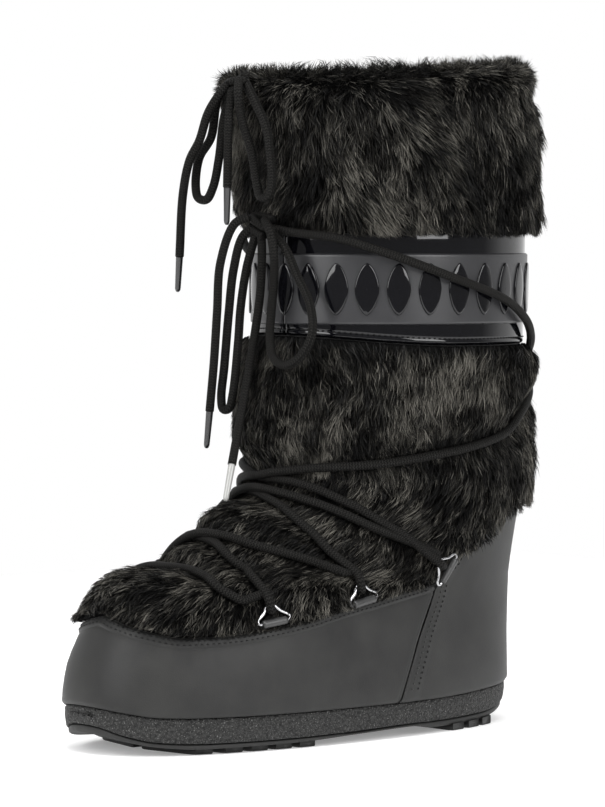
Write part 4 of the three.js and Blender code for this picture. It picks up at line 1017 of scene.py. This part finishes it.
# The collar's roll: the same pile turned over the rim and sewn down inside the shaft, where
# it is short and pressed flat by the foot going in.
LINING_OUT, LINING_IN, LINING_DEEP, ROLL_OUT = -7.7, -12.4, 21.0, 4.5
s = np.arange(180) * 2.0
cuff_top = shaft_rim(s)
t = np.linspace(0, 1, 16)[:, None]
inside_z = cuff_top - LINING_DEEP + t * (LINING_DEEP + 2.0)
inside = skin(s, inside_z, LINING_IN + 1.0 + 0.5 * waves(s, inside_z, 71, 5.0))
roll_turn = np.linspace(0.1, 0.95, 9)[:, None] * np.pi
roll_middle, roll_reach = (LINING_IN + ROLL_OUT) / 2, (ROLL_OUT - LINING_IN) / 2 - 1.0
over = skin(s, cuff_top + 2.0 + 3.0 * np.sin(roll_turn),
            roll_middle - roll_reach * np.cos(roll_turn))
under = skin(s, np.stack([cuff_top + 0.4] * 4),
             [[ROLL_OUT - 2.0], [1.0], [-4.0], [LINING_OUT]])
seat = skin(s, cuff_top - LINING_DEEP, LINING_OUT)
loops = np.concatenate([inside, over, under, seat[None]])
loop_piece("collar_roll", loops[::-1, ::-1], fur_back, ["collar_fur"])

rng = np.random.default_rng(53)
ROLL_HAIRS, LINING_SHARE, locks = 40000, 0.25, 900
lock_angle, lock_turn = rng.uniform(0, 360, locks), rng.random(locks) * 0.98 * np.pi
a0 = rng.uniform(0, 360, ROLL_HAIRS)
turn = rng.random(ROLL_HAIRS) ** 0.85 * 0.98 * np.pi
own = nearest_lock(np.column_stack([a0 * 1.25, turn * 8]),
                   np.column_stack([lock_angle * 1.25, lock_turn * 8]))
lining = rng.random(ROLL_HAIRS) < LINING_SHARE
top = shaft_rim(a0)
root_lift = np.where(lining, LINING_IN + 1.0, roll_middle - roll_reach * np.cos(turn))
root_z = np.where(lining, top + 2.0 - rng.random(ROLL_HAIRS) * (LINING_DEEP - 2.0),
                  top + 2.0 + 2.2 * np.sin(turn))
long = rng.uniform(6, 10.5, ROLL_HAIRS) * (1 + 0.25 * rng.normal(size=locks))[own]
long *= np.where(lining, 0.8, 1.0)
lean = rng.normal(0, 0.25, ROLL_HAIRS) + rng.normal(0, 0.45, locks)[own]
outwards = np.where(lining, -0.20, -np.cos(turn) * 0.55)
rising = np.where(lining, -0.80, (0.25 + 0.75 * np.sin(turn)) * rng.uniform(0.4, 1.0, ROLL_HAIRS))
radius = np.linalg.norm(surface(a0, top)[:, :2] - [0, 55], axis=1)
t = np.array([0.0, 0.55, 1.0])[None, :]
pull = 0.5 * t * (1 - lining[:, None])
angle = a0[:, None] + np.degrees(long * lean / radius)[:, None] * t
angle = angle + pull * ((lock_angle[own] - a0 + 180) % 360 - 180)[:, None]
lift = root_lift[:, None] + (long * outwards)[:, None] * t
z = root_z[:, None] + (long * rising)[:, None] * t - (long * 0.25 * np.abs(
    np.cos(turn)) * (1 - lining))[:, None] * t**2
held = np.minimum(z, top[:, None] + 8.0)
stations = skin(angle, held, lift)
stations[..., 2] += np.minimum(z, top[:, None] + 13.0) - held
# Each roll hair's colour share: partly random, partly blotches of painted sheen.
tones_and_sheen = np.clip(0.42 + 0.25 * waves(a0, top, 55, 9.0) + rng.normal(0, 0.10, locks)[own]
                 + rng.normal(0, 0.2, ROLL_HAIRS), 0, 1)
blades("collar_roll_pile", stations, tones_and_sheen, rng, ["collar_fur"])


# The shaft band: patent sheet wrapped round the shaft over thin foam, its ends butted at the
# front in one seam, its lower edge turned and stitched. A satin strip with raised glossy
# lozenges is moulded on its middle.
patent = Finish("patent", (0.003, 0.003, 0.004), 0.09, Specular_IOR_Level=0.1, Coat_Weight=0.6,
                Coat_Roughness=0.03)
ripple = patent.noise(28.0, 2.0)
patent.set(Roughness=patent.noise(160.0, 3.0) * 0.08 + 0.04)
patent.bump(ripple, 0.0006, 0.25)
satin = Finish("satin_strip", (0.030, 0.030, 0.032), 0.36)
grain = satin.noise(1400.0, 2.0)
satin.set(Base_Color=satin.mix((0.018, 0.018, 0.020), (0.030, 0.030, 0.032), satin.noise(60.0)),
          Roughness=grain * 0.15 + 0.28)
satin.bump(grain, 0.0001, 0.35)

SEAM_AT, SEAM_HALF, BAND_STITCH = 5.0, 0.30, 3.4


def wrap_places(columns, low, high, rows):
    """Angles and heights of a sheet wrapped round the shaft from the seam to the seam."""
    s = np.linspace(SEAM_AT + SEAM_HALF, SEAM_AT + 360 - SEAM_HALF, columns)[None, :]
    t, rise = np.array(rows, float).T[..., None]
    angle, z = np.broadcast_arrays(s, low(s) + (high - low(s)) * t + rise)
    end = np.minimum(angle - SEAM_AT - SEAM_HALF, SEAM_AT + 360 - SEAM_HALF - angle)
    return angle, z, end


band_rows = [
    (0, 0), (0, 0.3), (0, 0.8), (0, 1.6), (0, 2.4), (0, 2.9), (0, 3.2), (0, 3.5), (0, 3.9),
    (0, 4.6), (0.15, 0), (0.35, 0), (0.55, 0), (0.75, 0), (0.9, 0), (1, -1.5), (1, -0.5), (1, 0)]
band_angle, band_z, from_end = wrap_places(361, band_low, BAND_TOP, band_rows)
from_low = band_z - band_low(band_angle)
band_lift = (0.15 * waves(band_angle, band_z, 5, 22.0) + 0.1
             - 1.3 * ridge(from_low, 0, 0.4)
             - 0.30 * ridge(from_low, BAND_STITCH, 0.35)
             + 0.25 * ridge(from_low, 1.8, 1.1)
             - 0.4 * ridge(band_z, BAND_TOP, 0.5)
             - 0.9 * ridge(from_end, 0, 0.35))
shell_piece("patent_band", band_angle, band_z, band_lift, patent, "shaft_band")
stitch_angle = np.linspace(SEAM_AT + 1.5, SEAM_AT + 358.5, 1100)
stitches("band_stitches", stitch_angle, band_low(stitch_angle) + BAND_STITCH, 0.02,
         3.0, 0.62, 0.55, dark_thread)

STRIP_LIFT, LOZENGES, LOZENGE_WIDTH, LOZENGE_HEIGHT = 1.5, 28, 12.5, 27.0
LOZENGE_RISE, LOZENGE_POWER = 1.0, 1.25
strip_mid = (BAND_BOTTOM + BAND_TOP) / 2
strip_rows = [(0, 0), (0, 0.3), (0, 0.8), (0, 1.6), (0.2, 0), (0.4, 0), (0.6, 0), (0.8, 0),
              (1, -1.6), (1, -0.8), (1, -0.3), (1, 0)]
strip_angle, strip_z, from_end = wrap_places(
    361, steady(strip_mid - STRIP_HEIGHT / 2), strip_mid + STRIP_HEIGHT / 2, strip_rows)
to_edge = STRIP_HEIGHT / 2 - np.abs(strip_z - strip_mid)
strip_lift = (STRIP_LIFT - 1.0 * ridge(to_edge, 0, 0.4)
              - 0.8 * ridge(from_end, 0, 0.3)
              + 0.10 * waves(strip_angle, strip_z, 6, 26.0))
shell_piece("satin_strip", strip_angle, strip_z, strip_lift, satin, "band_strip",
            inner=0.25)


def lozenge_points(angle):
    """A crowned lozenge: rings of a rounded diamond that step up from the strip and close
    in a shallow dome, bent round the shaft."""
    turn = np.linspace(0, 2 * np.pi, 41)[:-1]
    x, y = (np.sign(v) * np.abs(v) ** LOZENGE_POWER for v in (np.cos(turn), np.sin(turn)))
    rings = [(1.0, -0.3), (1.0, 0.55), (0.97, 0.85), (0.90, 1.0), (0.6, 1.06), (0.3, 1.08),
             (0.02, 1.09)]
    size, height = np.array(rings).T[..., None]
    radius = np.linalg.norm(
        surface(angle + 0.5, strip_mid) - surface(angle - 0.5, strip_mid)) / np.radians(1)
    spot = angle + np.degrees(size * x * LOZENGE_WIDTH / 2 / radius)
    return skin(spot, strip_mid + size * y * LOZENGE_HEIGHT / 2,
                STRIP_LIFT + LOZENGE_RISE * (height + 0 * x))


lozenge_gloss = Finish("lozenge_gloss", (0.003, 0.003, 0.004), 0.1, Specular_IOR_Level=0.1,
                       Coat_Weight=0.6)
lozenge_gloss.set(Roughness=lozenge_gloss.noise(200.0, 3.0) * 0.08 + 0.05)
lozenge_gloss.bump(lozenge_gloss.noise(90.0), 0.0003, 0.2)
rings_of = [lozenge_points((i + 0.5) * 360 / LOZENGES) for i in range(LOZENGES)]
count = rings_of[0].shape[0] * 40
base = grid_faces(rings_of[0].shape[0], 40, True)
faces = (base[None] + (np.arange(LOZENGES) * count)[:, None, None]).reshape(-1, 4)
make_piece("strip_lozenges", np.concatenate([r.reshape(-1, 3) for r in rings_of]), faces,
           lozenge_gloss, ["band_strip"])


# The studio: a pale floor, faintly lit from within as a light table is, a white sweep behind
# the boot that is dim in front of it, and three soft boxes, from the left of the camera, from
# its right and from above.
FLOOR, SWEEP_DIM, SWEEP_BRIGHT, SWEEP_FROM, SWEEP_TO = 0.9, 0.28, 1.0, 0.05, 0.40
floor_mesh = bpy.data.meshes.new("floor")
floor_mesh.from_pydata([(-FLOOR, -FLOOR, 0), (FLOOR, -FLOOR, 0), (FLOOR, FLOOR, 0),
                        (-FLOOR, FLOOR, 0)], [], [(0, 1, 2, 3)])
floor = bpy.data.objects.new("floor", floor_mesh)
floor_mesh.materials.append(Finish(
    "pale_floor", (0.90, 0.90, 0.90), 0.8, Emission_Color=(1.0, 1.0, 1.0, 1.0),
    Emission_Strength=0.25).material)
bpy.context.scene.collection.objects.link(floor)


def soft_light(name, azimuth, height, distance, size, power):
    """A soft box at an azimuth round the boot, looking at the shaft."""
    turn = np.radians(azimuth)
    light = bpy.data.lights.new(name, "AREA")
    light.shape, light.size, light.size_y, light.energy = "RECTANGLE", size[0], size[1], power
    lamp = bpy.data.objects.new(name, light)
    spot = np.array([np.sin(turn) * distance, -np.cos(turn) * distance, height])
    look = np.array([0.0, 0.0, 0.17]) - spot
    look /= np.linalg.norm(look)
    x = np.cross(look, [0, 0, 1])
    x /= np.linalg.norm(x)
    lamp.matrix_world = Matrix(np.vstack([
        np.column_stack([x, np.cross(x, look), -look, spot]), [0, 0, 0, 1]]).tolist())
    bpy.context.scene.collection.objects.link(lamp)


soft_light("left_soft", 5.0, 0.9, 1.6, (0.9, 1.2), 22.0)
soft_light("right_soft", 100.0, 0.9, 1.7, (0.8, 1.2), 22.0)
soft_light("top_soft", 51.0, 2.0, 0.6, (1.2, 1.2), 30.0)
world = bpy.data.worlds.new("studio")
bpy.context.scene.world = world
world.use_nodes = True
nodes, links = world.node_tree.nodes, world.node_tree.links
place, aim = nodes.new("ShaderNodeTexCoord"), nodes.new("ShaderNodeVectorMath")
aim.operation = "DOT_PRODUCT"
aim.inputs[1].default_value = tuple(-backward)
ramp = nodes.new("ShaderNodeMapRange")
for k, value in enumerate((SWEEP_FROM, SWEEP_TO, SWEEP_DIM, SWEEP_BRIGHT), 1):
    ramp.inputs[k].default_value = value
links.new(place.outputs["Generated"], aim.inputs[0])
links.new(aim.outputs["Value"], ramp.inputs[0])
links.new(ramp.outputs[0], nodes["Background"].inputs["Strength"])
nodes["Background"].inputs["Color"].default_value = (1.0, 1.0, 1.0, 1.0)
bpy.context.scene.view_settings.view_transform = "Standard"
